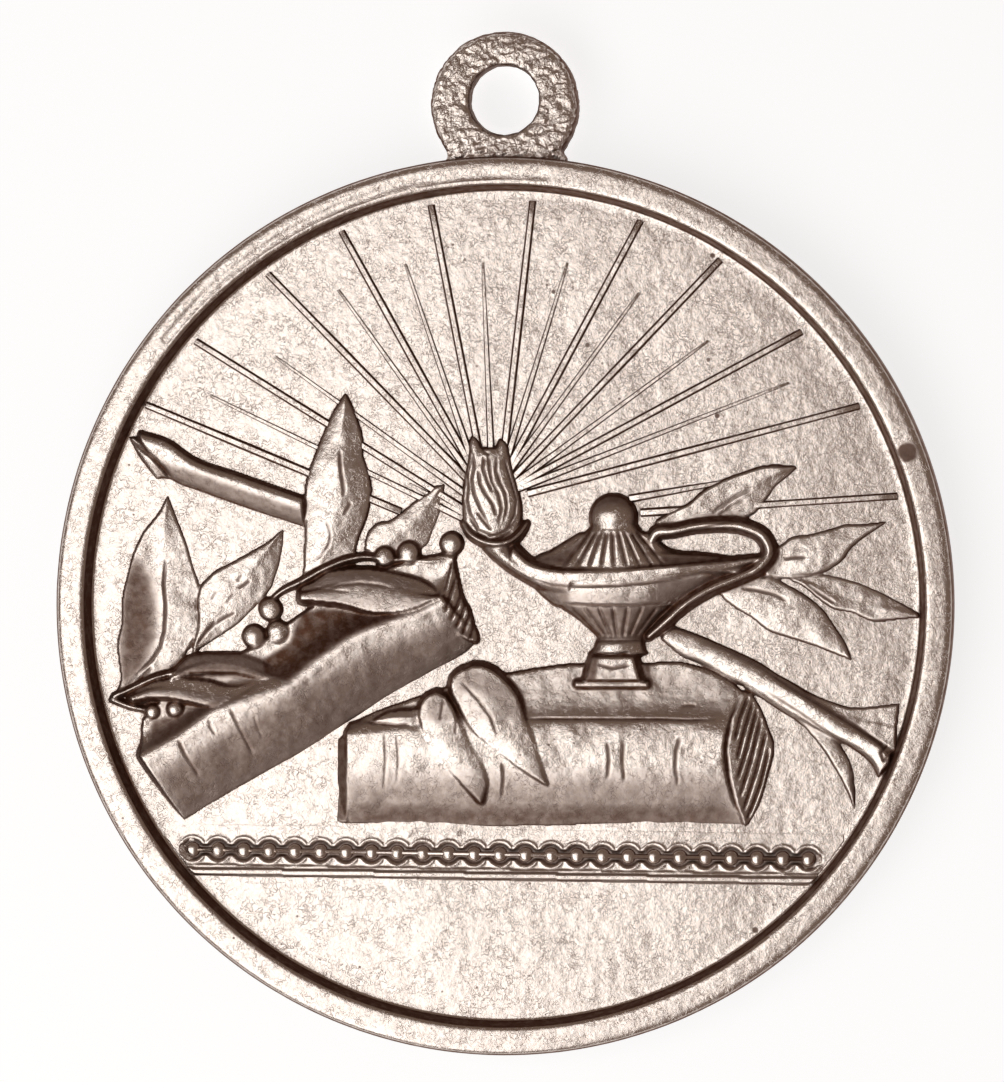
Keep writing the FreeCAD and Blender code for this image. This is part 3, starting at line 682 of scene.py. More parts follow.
LEFT_LEAVES = [
    Leaf([(-14.07, -3.33), (-13.75, -2.76), (-13.78, -2.16), (-13.86, -1.38), (-13.68, -0.56),
          (-13.68, 0.19), (-13.50, 1.04), (-13.25, 1.93), (-12.90, 2.64), (-12.36, 3.32),
          (-12.04, 3.96)],
         [(-13.75, -3.12), (-13.18, -2.51), (-12.58, -1.94), (-12.29, -1.45), (-12.15, -0.84),
          (-12.11, 0.01), (-12.18, 0.76), (-12.08, 2.18), (-12.04, 3.96)],
         [(-13.25, -3.12), (-12.15, -2.44), (-11.51, -1.87), (-11.05, -1.13), (-10.90, -0.70),
          (-11.01, 0.01), (-10.90, 0.69), (-11.08, 1.26), (-11.37, 2.22), (-11.69, 3.03), (-11.94, 3.67),
          (-12.04, 3.96)],
         0.15, 0.15, 0.08, -0.03, 0.0),
    Leaf([(-11.05, -1.20), (-10.94, -0.49), (-10.98, 0.22), (-10.87, 0.65), (-10.44, 1.15),
          (-9.66, 1.58), (-8.95, 1.97), (-8.42, 2.29), (-7.88, 2.75)],
         [(-11.15, -1.62), (-10.62, -0.91), (-10.02, -0.13), (-9.38, 0.58), (-8.74, 1.47), (-8.24, 2.18),
          (-7.88, 2.75)],
         [(-11.15, -1.73), (-10.30, -1.20), (-9.38, -0.56), (-8.81, 0.05), (-8.27, 0.69), (-8.06, 1.26),
          (-7.92, 2.00), (-7.88, 2.75)],
         0.16, 0.17, 0.06, 0.02, 0.01),
    Leaf([(-7.24, 0.58), (-7.17, 1.65), (-7.14, 2.71), (-7.14, 3.67), (-7.10, 4.38), (-6.82, 5.27),
          (-6.46, 6.16), (-6.10, 6.94), (-5.68, 7.55)],
         [(-6.71, 1.29), (-6.35, 2.18), (-6.03, 3.25), (-5.75, 3.96), (-5.78, 4.63), (-5.86, 5.56),
          (-5.78, 6.45), (-5.68, 7.55)],
         [(-5.39, 1.65), (-5.18, 2.50), (-4.93, 3.10), (-4.79, 3.67), (-4.75, 4.24), (-4.86, 4.78),
          (-5.04, 5.34), (-5.07, 6.02), (-5.29, 6.73), (-5.50, 7.23), (-5.68, 7.55)],
         0.14, 0.34, 0.16, 0.06, 0.02),
    Leaf([(-5.00, 2.00), (-4.93, 2.43), (-4.75, 2.78), (-4.47, 2.96), (-4.11, 3.03), (-3.69, 3.32),
          (-3.22, 3.71), (-2.73, 4.03), (-2.51, 4.24), (-2.12, 4.31)],
         [(-4.40, 1.79), (-3.97, 2.18), (-3.51, 2.64), (-3.05, 3.14), (-2.62, 3.64), (-2.12, 4.31)],
         [(-3.15, 1.93), (-2.73, 2.18), (-2.55, 2.61), (-2.37, 3.07), (-2.19, 3.67), (-2.12, 4.31)],
         0.15, 0.18, 0.05, 0.01, 0.01),
    Leaf([(-7.24, 0.65), (-6.78, 0.86), (-6.28, 1.18), (-5.75, 1.29), (-5.11, 1.33), (-4.40, 1.26),
          (-3.69, 1.11), (-2.90, 0.86), (-2.44, 0.58), (-2.19, 0.33)],
         [(-7.24, 0.44), (-6.53, 0.58), (-5.82, 0.76), (-5.11, 0.83), (-4.40, 0.76), (-3.79, 0.58),
          (-2.98, 0.40), (-2.19, 0.33)],
         [(-7.24, 0.22), (-6.42, 0.15), (-5.82, 0.08), (-5.29, -0.06), (-4.82, -0.20), (-4.15, -0.24),
          (-3.44, -0.17), (-2.90, 0.01), (-2.62, 0.15), (-2.19, 0.33)],
         0.46, 0.68, 0.78, 0.03, 0.04),
    Leaf([(-11.86, -2.41), (-11.65, -2.19), (-11.26, -1.84), (-10.41, -1.73), (-9.48, -1.73),
          (-8.66, -2.02), (-8.06, -2.34), (-7.53, -2.66)],
         [(-11.94, -2.55), (-11.15, -2.19), (-10.26, -2.05), (-9.38, -2.16), (-8.49, -2.44),
          (-7.53, -2.66)],
         [(-11.94, -2.69), (-11.33, -2.48), (-10.41, -2.41), (-9.48, -2.41), (-8.49, -2.62),
          (-7.53, -2.66)],
         0.34, 0.48, 0.52, 0.0, 0.0),
    Leaf([(-13.36, -3.15), (-12.58, -2.76), (-11.69, -2.62), (-10.62, -2.69), (-9.73, -2.90),
          (-9.02, -2.76), (-8.31, -2.66), (-7.53, -2.66)],
         [(-13.36, -3.26), (-12.58, -2.98), (-11.51, -2.98), (-10.44, -3.19), (-9.38, -3.22),
          (-8.38, -2.98), (-7.53, -2.66)],
         [(-13.29, -3.40), (-12.40, -3.26), (-11.33, -3.40), (-10.19, -3.62), (-9.34, -3.54),
          (-8.56, -3.30), (-7.95, -2.98), (-7.53, -2.66)],
         0.44, 0.60, 0.68, 0.0, 0.02)]
upper_far = [(-12.93, -4.11), (-12.04, -3.15), (-10.80, -2.19), (-9.20, -1.62), (-7.60, -0.56),
             (-6.18, 0.37), (-4.40, 1.22), (-2.26, 1.79), (-1.73, 1.79)]
upper_hinge = [(-12.97, -4.54), (-11.86, -3.90), (-10.62, -3.12), (-9.02, -2.34), (-7.78, -1.55),
               (-6.53, -0.42), (-4.75, 0.12), (-2.80, 0.65), (-2.05, 1.04)]
upper_crest = [(-13.00, -5.36), (-12.26, -4.93), (-11.51, -4.50), (-10.62, -3.83), (-9.20, -3.22),
               (-7.63, -2.58), (-6.89, -2.02), (-5.57, -1.06), (-4.50, -0.56), (-3.15, -0.13),
               (-2.16, 0.33)]
upper_foot = [(-11.47, -7.70), (-10.73, -7.24), (-8.91, -6.18), (-7.10, -5.18), (-5.29, -4.01),
              (-3.47, -2.87), (-2.26, -2.19), (-1.20, -1.55), (-0.91, -1.20)]
upper_book = skin([(upper_far, [0.30]), (upper_hinge, [0.26])]
                  + sloped(upper_hinge, upper_crest, [(0.4, 0.34), (0.75, 0.54)])
                  + sloped(upper_crest, upper_foot, [(0, 0.70), (0.08, 0.74), (0.22, 0.705),
                                                     (0.38, 0.63), (0.55, 0.51), (0.72, 0.36),
                                                     (0.88, 0.17), (1.0, 0.0)]), 110, 60)
upper_pages = skin([
    ([(-1.84, 1.72), (-2.02, 1.04), (-2.19, 0.47), (-2.23, -0.13), (-1.91, -0.56), (-1.52, -1.09),
      (-0.98, -1.27)], [0.40, 0.54, 0.40]),
    ([(-1.70, 1.11), (-1.59, 0.58), (-1.45, 0.15), (-1.30, -0.10), (-1.16, -0.49),
      (-0.91, -1.13)], [0.34, 0.40, 0.24])], 30, 6)
left_stem = skin([
    ([(-13.07, 6.23), (-12.04, 5.91), (-11.15, 5.31), (-9.38, 4.67), (-7.17, 3.89)], [-0.05]),
    ([(-13.04, 6.13), (-12.04, 5.81), (-11.15, 5.20), (-9.38, 4.56), (-7.17, 3.78)], [0.40]),
    ([(-13.00, 5.98), (-12.04, 5.63), (-11.15, 5.06), (-9.38, 4.42), (-7.17, 3.64)], [0.46]),
    ([(-12.75, 5.49), (-12.04, 5.06), (-11.15, 4.53), (-9.38, 3.92), (-7.17, 3.21)], [0.34]),
    ([(-12.40, 4.99), (-11.86, 4.56), (-10.98, 4.17), (-9.20, 3.57), (-7.17, 2.93)], [0.16]),
    ([(-12.15, 4.56), (-11.69, 4.31), (-10.87, 4.03), (-9.09, 3.39), (-7.17, 2.75)], [-0.05])], 50, 20)
left_cut = skin([
    ([(-13.43, 5.98), (-13.00, 5.27), (-12.47, 4.53)], [0.10, 0.2, 0.10]),
    ([(-13.29, 6.02), (-12.65, 5.34), (-12.01, 4.56)], [0.22, 0.34, 0.22])], 12, 6)
twig = band([(-8.59, -0.06), (-7.95, 0.51), (-7.24, 0.86), (-6.32, 1.36), (-5.57, 1.65), (-4.86, 1.75),
             (-4.26, 1.65), (-3.40, 1.65), (-2.62, 1.58), (-1.84, 1.65)],
            [0.05, 0.11, 0.13, 0.13, 0.12, 0.11, 0.10, 0.10, 0.09, 0.06],
            [0.20, 0.40, 0.48, 0.52, 0.52, 0.46, 0.42, 0.40, 0.38, 0.32])
sprig = band([(-14.10, -3.33), (-13.36, -3.62), (-12.65, -3.76)], [0.14, 0.12, 0.10], [0.32, 0.36, 0.36])
sprig_run = band([(-14.00, -3.26), (-13.36, -2.98), (-12.58, -2.62), (-11.58, -2.34)],
                 [0.13, 0.10, 0.07, 0.05], [0.34, 0.44, 0.5, 0.5])
BERRY_FLAT = 0.55
BERRIES = [Berry(-8.35, -0.13, 0.42, 0.16), Berry(-8.95, -1.09, 0.42, 0.16),
           Berry(-8.10, -0.91, 0.40, 0.16), Berry(-4.26, 1.75, 0.36, 0.22),
           Berry(-3.40, 1.90, 0.40, 0.20), Berry(-1.87, 2.22, 0.42, 0.16),
           Berry(-11.76, -3.69, 0.30, 0.36), Berry(-12.58, -3.79, 0.27, 0.30)]
berries = [ball(*row, BERRY_FLAT) for row in BERRIES]

left_lines = [
    Line([(-13.18, -2.51), (-12.58, -1.94), (-12.29, -1.45), (-12.15, -0.84), (-12.11, 0.01),
          (-12.18, 0.76), (-12.11, 1.65)], 0.05, 0.05, 0.9),
    Line([(-13.75, -3.12), (-13.18, -2.76), (-12.58, -2.19)], 0.05, 0.04, 0.8),
    Line([(-13.36, 5.88), (-12.65, 5.34), (-12.15, 4.85), (-11.94, 4.56)], 0.06, 0.08, 1.0),
    Line([(-9.09, 0.90), (-9.27, 0.76), (-9.52, 0.62)], 0.04, 0.03, 0.9),
    Line([(-9.38, 1.11), (-9.55, 0.86)], 0.04, 0.02, 0.7),
    Line([(-10.34, -0.66), (-9.91, -0.38), (-9.62, -0.24)], 0.04, 0.03, 0.9),
    Line([(-11.01, -1.41), (-10.62, -0.91), (-10.30, -0.56)], 0.045, 0.04, 0.9),
    Line([(-10.30, 0.51), (-10.48, 0.22)], 0.03, 0.02, 0.6),
    Line([(-9.66, 0.44), (-9.94, 0.08)], 0.03, 0.02, 0.6),
    Line([(-5.86, 5.56), (-5.82, 5.02), (-5.78, 4.63), (-5.71, 4.21), (-5.71, 3.89)], 0.05, 0.04, 0.8),
    Line([(-5.46, 3.67), (-5.57, 3.46), (-5.71, 3.25)], 0.045, 0.03, 0.8),
    Line([(-6.35, 3.07), (-6.18, 2.54), (-6.25, 2.14), (-6.53, 1.79), (-6.82, 1.61)], 0.04, 0.02, 0.4),
    Line([(-6.53, 0.51), (-5.82, 0.76), (-5.11, 0.83), (-4.40, 0.76), (-3.79, 0.58)], 0.05, 0.03, 0.5),
    Line([(-6.78, 0.65), (-6.18, 0.58), (-5.46, 0.51)], 0.04, 0.02, 0.5),
    Line([(-7.92, 2.00), (-8.02, 1.47), (-8.27, 0.72)], 0.04, 0.04, 0.9),
    Line([(-11.44, -2.41), (-10.41, -2.37), (-9.38, -2.41)], 0.06, 0.04, 1.0),
    Line([(-11.62, -4.75), (-11.37, -5.29), (-10.87, -6.10)], 0.055, 0.035, 0.9),
    Line([(-10.51, -4.04), (-10.44, -4.33), (-10.26, -4.61)], 0.045, 0.02, 0.5),
    Line([(-9.77, -3.62), (-9.38, -4.43), (-8.95, -5.29)], 0.05, 0.035, 0.8),
    Line([(-8.88, -3.90), (-8.77, -4.33), (-8.59, -4.75)], 0.04, 0.02, 0.5)]
LEFT_PAGE_LINES = [
    [(-1.84, 1.65), (-1.98, 1.11), (-2.12, 0.51)],
    [(-1.70, 1.01), (-1.91, 0.40), (-2.05, -0.20)],
    [(-1.48, 0.51), (-1.70, -0.06), (-1.87, -0.49)],
    [(-1.34, 0.15), (-1.52, -0.38), (-1.70, -0.77)],
    [(-1.16, -0.20), (-1.34, -0.63), (-1.48, -1.02)],
    [(-1.02, -0.56), (-1.13, -0.91), (-1.23, -1.20)]]
left_lines += [Line(path, 0.05, 0.10, 1.0) for path in LEFT_PAGE_LINES]
ARC = [i * math.pi / 12 for i in range(-8, 17)]
left_lines += [Line([(x + r * math.cos(turn), y + r * math.sin(turn)) for turn in ARC], 0.05, 0.04, 0.95)
               for x, y, r, sink in BERRIES]
# The leaves' outlines carry patina; their left edges are marked darker than their right as painted shade,
# turned from the light.
for row in LEFT_LEAVES[:4]:
    left_lines += [Line(row.left, 0.04, 0.02, 0.85), Line(row.right, 0.035, 0.012, 0.45)]
# Painted shade: areas darkened where the leaning book's spine and foot, the stem's lower side and some
# leaves turn from the light.
left_painted_shades = [
    PaintedShade([(-13.71, -2.98), (-13.78, -1.91), (-13.75, -0.49), (-13.57, 0.94), (-13.22, 1.79),
          (-12.72, 1.11), (-12.50, 0.22), (-12.50, -1.20), (-12.86, -2.09),
          (-13.36, -2.80)], 0.84, 0.16),
    PaintedShade([(-12.58, 5.20), (-11.86, 4.99), (-10.98, 4.74), (-9.20, 4.10), (-7.17, 3.42), (-7.17, 2.57),
          (-9.20, 3.21), (-10.98, 3.85), (-12.22, 4.21)], 0.62, 0.07),
    PaintedShade([(-8.74, -1.98), (-7.67, -1.34), (-7.24, -0.20), (-6.18, -0.06), (-4.75, -0.31), (-2.80, -0.13),
          (-2.26, 0.19), (-3.69, -0.42), (-5.54, -1.13), (-6.96, -2.12), (-7.67, -2.76),
          (-8.59, -2.48)], 0.95, 0.07),
    PaintedShade([(-12.75, -5.11), (-12.58, -4.11), (-11.33, -3.76), (-10.26, -3.33), (-9.55, -3.12),
          (-10.62, -3.90), (-11.51, -4.50), (-12.22, -4.97)], 0.8, 0.06),
    PaintedShade([(-11.47, -7.70), (-11.79, -7.17), (-9.02, -5.54), (-7.10, -4.61), (-5.29, -3.51),
          (-3.47, -2.34), (-1.66, -1.48), (-1.06, -1.20), (-0.91, -1.41), (-3.47, -2.94),
          (-7.10, -5.22)], 0.62, 0.10),
    PaintedShade([(-12.58, -5.96), (-10.80, -5.04), (-8.66, -3.69), (-6.53, -2.48), (-4.68, -1.55),
          (-1.73, -0.42), (-0.98, -1.20), (-3.47, -2.94), (-7.10, -5.29), (-11.47, -7.78)], 0.70, 0.26),
    PaintedShade([(-12.93, -5.54), (-11.51, -4.68), (-9.20, -3.40), (-6.89, -2.19), (-5.57, -1.20),
          (-3.69, -0.42), (-2.16, 0.22), (-1.73, -0.56), (-4.68, -1.70), (-8.66, -3.83),
          (-12.58, -6.10)], 0.16, 0.16),
    PaintedShade([(-11.79, -2.26), (-11.26, -1.77), (-10.41, -1.62), (-9.38, -1.62), (-8.52, -1.91),
          (-7.60, -2.55), (-9.02, -2.66), (-10.41, -2.58), (-11.58, -2.62)], 0.72, 0.06),
    PaintedShade([(-13.36, -3.33), (-12.58, -2.98), (-11.51, -2.98), (-10.26, -3.19), (-9.20, -3.22),
          (-8.31, -2.98), (-8.59, -3.33), (-10.19, -3.69), (-11.33, -3.47),
          (-12.58, -3.33)], 0.35, 0.06),
    PaintedShade([(-7.24, 0.37), (-5.11, 0.54), (-2.26, 0.30), (-2.80, -0.02), (-4.82, -0.24),
          (-6.18, 0.05)], 0.28, 0.08),
    PaintedShade([(-7.14, 0.65), (-6.28, 1.11), (-5.11, 1.26), (-3.69, 1.04), (-2.62, 0.58), (-3.69, 0.51),
          (-5.11, 0.65), (-6.53, 0.44)], 0.45, 0.06)]
left_forms = [leaf(row) for row in LEFT_LEAVES] + berries
left_forms += [upper_book, upper_pages, left_stem, left_cut, twig, sprig, sprig_run]
left_sheet = Sheet(-14.75, -0.3, -8.3, 7.9, 0.04)
left_sheet.strike(left_forms, [(0.11, 0.0032, 2), (0.26, 0.0080, 3), (0.9, 0.014, 4)], left_lines,
                  left_painted_shades)
lined_and_shaded_metal = white_metal("struck white metal, lined", 0.024, 0.26, 0.14, lined_and_shaded=True)
finish_piece(left_sheet.to_mesh(left_sheet.height > SHEET_EDGE), "laurel_and_leaning_book", lined_and_shaded_metal)

# The lamp and the lying book, with the laurel behind them: raised in the same blow, and made as the
# left side is. The lamp is a turned body with a fluted lid and cup, a spout with a flame, a handle
# that is a bent bar, and a stepped foot on the book.
RIGHT_LEAVES = [
    Leaf([(5.38, 3.00), (5.88, 3.32), (6.59, 3.67), (7.09, 4.10), (7.80, 4.49), (8.58, 4.78),
          (9.36, 4.99), (10.46, 4.95)],
         [(5.98, 2.71), (6.62, 3.00), (7.44, 3.32), (8.22, 3.78), (8.83, 4.17), (9.65, 4.63),
          (10.46, 4.95)],
         [(6.62, 2.71), (7.69, 2.93), (8.58, 3.14), (8.90, 3.28), (9.18, 3.60), (9.43, 3.92),
          (9.68, 4.28), (10.04, 4.56), (10.46, 4.95)],
         0.20, 0.17, 0.10, 0.0, -0.01),
    Leaf([(9.26, 1.65), (9.79, 2.14), (10.22, 2.46), (10.89, 2.57), (11.60, 2.75), (12.21, 2.93),
          (12.81, 2.93), (13.66, 3.03)],
         [(9.26, 1.43), (9.97, 1.68), (10.75, 1.79), (11.60, 2.07), (12.31, 2.36), (13.02, 2.71),
          (13.66, 3.03)],
         [(9.26, 1.22), (9.36, 1.11), (10.04, 0.97), (10.89, 1.08), (11.60, 1.33), (12.03, 1.65),
          (12.38, 2.11), (12.81, 2.46), (13.66, 3.03)],
         0.13, 0.17, 0.15, 0.01, 0.01),
    Leaf([(10.18, 1.11), (10.64, 1.15), (11.50, 1.15), (12.63, 0.86), (13.56, 0.44), (14.73, -0.20)],
         [(10.18, 1.04), (11.07, 0.72), (11.96, 0.37), (12.88, 0.08), (13.84, -0.06), (14.73, -0.27)],
         [(10.18, 0.94), (10.64, 0.72), (11.07, 0.37), (11.67, -0.06), (12.46, -0.24), (12.99, -0.49),
          (14.02, -0.45), (14.73, -0.38)],
         0.05, 0.11, 0.15, 0.01, 0.01),
    Leaf([(7.98, 0.76), (8.76, 1.01), (9.50, 1.08), (10.04, 0.79), (10.75, 0.37), (11.35, -0.13),
          (11.78, -0.74), (12.21, -1.45), (12.35, -1.91)],
         [(7.76, 0.65), (8.47, 0.65), (9.61, 0.47), (10.64, -0.24), (11.53, -1.06), (12.35, -1.91)],
         [(7.62, 0.58), (7.76, 0.33), (8.12, 0.01), (8.83, -0.42), (9.36, -0.84), (10.22, -1.13),
          (10.89, -1.34), (11.60, -1.62), (12.35, -1.91)],
         0.13, 0.17, 0.13, 0.01, 0.02),
    Leaf([(8.47, -2.83), (8.76, -3.01), (9.68, -3.62), (10.46, -4.11), (11.00, -4.65), (11.42, -5.18),
          (11.78, -5.78), (12.21, -6.57), (12.49, -7.28)],
         [(8.76, -2.83), (10.18, -3.62), (11.25, -4.47), (11.96, -5.46), (12.49, -7.28)],
         [(9.29, -2.98), (10.54, -3.76), (11.67, -4.58), (12.31, -5.54), (12.49, -7.28)],
         0.13, 0.14, 0.12, 0.0, 0.0),
    Leaf([(6.62, -0.91), (7.69, -1.38), (9.18, -2.16), (10.04, -2.58), (10.89, -3.08), (11.78, -3.44),
          (12.28, -3.58), (13.20, -3.54), (14.06, -3.44)],
         [(6.80, -1.06), (7.76, -1.48), (9.18, -2.19), (10.36, -2.87), (11.42, -3.58), (12.49, -4.01),
          (13.95, -4.33)],
         [(6.98, -1.20), (7.87, -1.55), (9.18, -2.23), (10.54, -3.05), (11.78, -3.79), (12.63, -4.29),
          (13.49, -4.90), (13.95, -5.18)],
         0.12, 0.15, 0.16, 0.0, 0.0),
    Leaf([(-2.62, -3.12), (-2.87, -3.33), (-3.01, -3.76), (-2.94, -4.26), (-2.62, -4.90), (-2.12, -5.61),
          (-1.55, -6.28), (-0.91, -6.96)],
         [(-2.55, -3.12), (-2.51, -3.51), (-2.34, -4.22), (-1.91, -5.04), (-1.38, -5.75), (-1.06, -6.46),
          (-0.84, -6.99)],
         [(-2.41, -3.05), (-2.12, -3.19), (-1.84, -3.54), (-1.48, -4.33), (-1.16, -4.97), (-0.74, -5.68),
          (-0.59, -6.35), (-0.77, -6.99)],
         0.60, 0.66, 0.60, 0.02, 0.01),
    Leaf([(-1.48, -2.26), (-1.80, -2.51), (-1.87, -2.94), (-1.62, -3.51), (-1.16, -4.36), (-0.63, -4.86),
          (0.05, -5.39), (0.69, -5.86), (1.58, -6.39)],
         [(-1.38, -2.26), (-1.06, -2.98), (-0.66, -3.62), (-0.13, -4.40), (0.40, -5.18), (0.94, -5.82),
          (1.58, -6.39)],
         [(-1.13, -2.12), (-0.63, -2.16), (-0.10, -2.51), (0.47, -3.15), (0.76, -3.94), (1.01, -4.58),
          (1.26, -5.36), (1.58, -6.39)],
         0.64, 0.70, 0.62, 0.02, 0.01),
    Leaf([(-4.68, -4.11), (-4.22, -3.83), (-3.69, -3.72), (-2.98, -3.69)],
         [(-4.68, -4.15), (-4.04, -4.01), (-3.51, -3.97), (-2.98, -3.90)],
         [(-4.68, -4.15), (-4.04, -4.18), (-3.40, -4.33), (-2.98, -4.26)],
         0.46, 0.56, 0.50, 0.0, 0.0)]
lower_book = skin([
    ([(-5.39, -4.18), (-4.68, -3.83), (-3.69, -3.47), (-2.26, -2.98), (-0.13, -2.48), (2.00, -2.12),
      (5.06, -2.05), (6.06, -1.98), (7.16, -2.26), (8.12, -2.76), (8.44, -3.01)], [0.20, 0.20, 0.16]),
    ([(-5.50, -4.18), (-4.68, -4.01), (-3.69, -3.97), (-1.55, -3.90), (1.29, -3.90), (4.85, -3.90),
      (6.98, -3.90), (8.12, -3.94)],
     [0.22, 0.32, 0.40, 0.41, 0.41, 0.41, 0.41, 0.38]),
    ([(-5.57, -4.33), (-4.93, -4.18), (-3.69, -4.15), (0.69, -4.11), (3.42, -4.11), (7.58, -4.11),
      (8.01, -4.15)],
     [0.36, 0.46, 0.50, 0.50, 0.50, 0.50, 0.50, 0.47]),
    ([(-5.61, -4.50), (-4.93, -4.40), (-3.69, -4.40), (0.69, -4.40), (3.42, -4.40), (7.58, -4.40),
      (7.94, -4.43)], [0.55]),
    ([(-5.64, -4.93), (-3.69, -4.90), (3.42, -4.90), (7.87, -4.90)], [0.585]),
    ([(-5.64, -5.46), (-3.69, -5.46), (3.42, -5.46), (7.87, -5.46)], [0.59]),
    ([(-5.64, -5.96), (-3.69, -5.96), (3.42, -5.96), (7.94, -5.96)], [0.55]),
    ([(-5.64, -6.46), (-3.69, -6.46), (3.42, -6.46), (8.05, -6.46)], [0.46]),
    ([(-5.64, -6.92), (-3.69, -6.96), (3.42, -6.96), (8.19, -6.96)], [0.32]),
    ([(-5.64, -7.38), (-2.16, -7.46), (2.75, -7.42), (8.40, -7.38)], [0.14]),
    ([(-5.64, -7.78), (-2.16, -7.88), (2.75, -7.81), (8.69, -7.78)], [0.0])], 90, 50)
lower_end = net([[(-6.00, -4.75, 0.0), (-6.00, -6.2, 0.0), (-6.00, -7.72, 0.0)],
                 [(-5.58, -4.62, 0.52), (-5.60, -6.2, 0.56), (-5.62, -7.76, 0.10)]])
lower_pages = skin([
    ([(8.44, -3.05), (8.05, -4.04), (7.87, -5.04), (7.98, -6.10), (8.22, -7.10),
      (8.58, -7.78)], [0.24, 0.38, 0.40, 0.24]),
    ([(8.79, -3.08), (9.15, -3.69), (9.36, -4.26), (9.58, -4.93), (9.36, -6.03), (9.04, -7.14),
      (8.69, -7.81)], [0.10, 0.18, 0.18, 0.04])], 40, 10)
right_stem = skin([
    ([(5.63, -1.23), (6.23, -1.80), (7.02, -2.12), (7.87, -2.62), (8.76, -3.01), (9.61, -3.62),
      (10.39, -4.08), (11.42, -4.61), (12.28, -5.04), (12.99, -5.61), (13.31, -6.14)], [-0.05]),
    ([(5.59, -1.20), (6.34, -1.70), (7.09, -1.98), (7.98, -2.48), (8.86, -2.90), (9.72, -3.47),
      (10.50, -3.94), (11.50, -4.50), (12.35, -4.90), (13.06, -5.43),
      (13.34, -6.03)], [0.10, 0.17, 0.22, 0.22]),
    ([(5.63, -1.06), (6.55, -1.52), (7.37, -1.77), (8.33, -2.23), (9.22, -2.69), (10.11, -3.26),
      (10.89, -3.72), (11.82, -4.33), (12.60, -4.75), (13.31, -5.25),
      (13.52, -5.75)], [0.18, 0.28, 0.34, 0.34]),
    ([(5.74, -0.91), (6.70, -1.30), (7.58, -1.62), (8.58, -2.09), (9.50, -2.58), (10.43, -3.08),
      (11.21, -3.58), (12.03, -4.18), (12.81, -4.61), (13.49, -5.07),
      (13.70, -5.54)], [0.17, 0.27, 0.33, 0.33]),
    ([(5.98, -0.77), (6.87, -1.09), (7.76, -1.45), (8.97, -2.02), (9.82, -2.62), (10.71, -3.12),
      (11.57, -3.69), (12.42, -4.26), (13.24, -4.82), (13.74, -5.25)], [0.12, 0.20, 0.25, 0.25]),
    ([(6.13, -0.70), (6.98, -1.02), (7.87, -1.41), (9.18, -2.05), (10.04, -2.62), (10.93, -3.19),
      (11.82, -3.72), (12.67, -4.22), (13.52, -4.82),
      (13.91, -5.11)], [0.02, 0.05, 0.10, 0.10])], 70, 24)


def turned(bands, fullness):
    """The front half of a turned body: its level, left, right and crest on the way up."""
    foot = 0.04
    u = np.sin(np.linspace(-math.pi / 2, math.pi / 2, 41))
    rows = []
    for level, left, right, crest in through(bands, 40):
        height = foot + (crest - foot) * (1 - u * u) ** fullness
        rows.append(np.column_stack([(left + right) / 2 + (right - left) / 2 * u,
                                     np.full(41, level), height]))
    return net(rows)


knob = ball(3.89, 3.16, 0.86, 0.06, 0.75)
cup = turned([(-1.20, 3.42, 4.92, 0.46), (-0.85, 3.05, 5.12, 0.58), (-0.45, 2.60, 5.45, 0.67),
              (0.08, 1.75, 6.10, 0.72)], 0.6)
belly = turned([(0.02, 1.72, 6.20, 0.74), (0.48, 1.20, 6.90, 0.80), (0.94, 0.80, 7.70, 0.80),
                (1.30, 0.60, 8.85, 0.72)], 0.6)
lid = turned([(1.34, 1.95, 5.70, 0.72), (1.92, 2.30, 5.38, 0.73), (2.42, 2.72, 5.08, 0.70),
              (2.86, 3.10, 4.78, 0.62)], 0.55)
shoulders = turned([(1.20, 0.60, 9.0, 0.66), (1.45, 0.75, 8.9, 0.64), (1.72, 1.05, 8.2, 0.56),
                    (2.05, 1.75, 5.9, 0.48), (2.60, 2.65, 5.2, 0.44)], 0.4)
neck_ring = turned([(-1.70, 2.98, 5.14, 0.52), (-1.50, 3.20, 5.02, 0.60), (-1.25, 3.28, 4.98, 0.58),
                    (-1.08, 3.40, 4.92, 0.46)], 0.4)
lip = skin([
    ([(0.37, 2.14), (0.97, 1.61), (1.72, 1.36), (2.89, 1.33), (4.14, 1.36), (5.56, 1.47), (6.98, 1.58),
      (8.22, 1.68), (9.26, 1.79)], [0.55, 0.66, 0.66, 0.40]),
    ([(0.33, 2.04), (0.94, 1.50), (1.72, 1.29), (2.89, 1.26), (4.14, 1.29), (5.56, 1.40), (6.98, 1.50),
      (8.22, 1.61), (9.26, 1.75)], [0.74, 0.82, 0.82, 0.48]),
    ([(0.26, 1.86), (0.90, 1.33), (1.72, 1.11), (2.89, 1.08), (4.14, 1.11), (5.56, 1.26), (6.98, 1.40),
      (8.22, 1.54), (9.26, 1.72)], [0.74, 0.83, 0.83, 0.48]),
    ([(0.22, 1.72), (0.90, 1.15), (1.72, 0.94), (2.89, 0.90), (4.14, 0.94), (5.56, 1.08), (6.98, 1.26),
      (8.22, 1.43), (9.26, 1.68)], [0.68, 0.76, 0.76, 0.44]),
    ([(0.19, 1.61), (0.90, 1.04), (1.72, 0.83), (2.89, 0.79), (4.14, 0.83), (5.56, 0.97), (6.98, 1.18),
      (8.22, 1.36), (9.26, 1.65)], [0.60, 0.68, 0.68, 0.38])], 80, 12)
spout = band([(-0.46, 2.50), (-0.12, 1.95), (0.33, 1.52), (0.85, 1.2), (1.6, 0.95), (2.4, 0.8)],
             [0.62, 0.44, 0.36, 0.36, 0.50, 0.62], [0.46, 0.56, 0.64, 0.70, 0.74, 0.74])
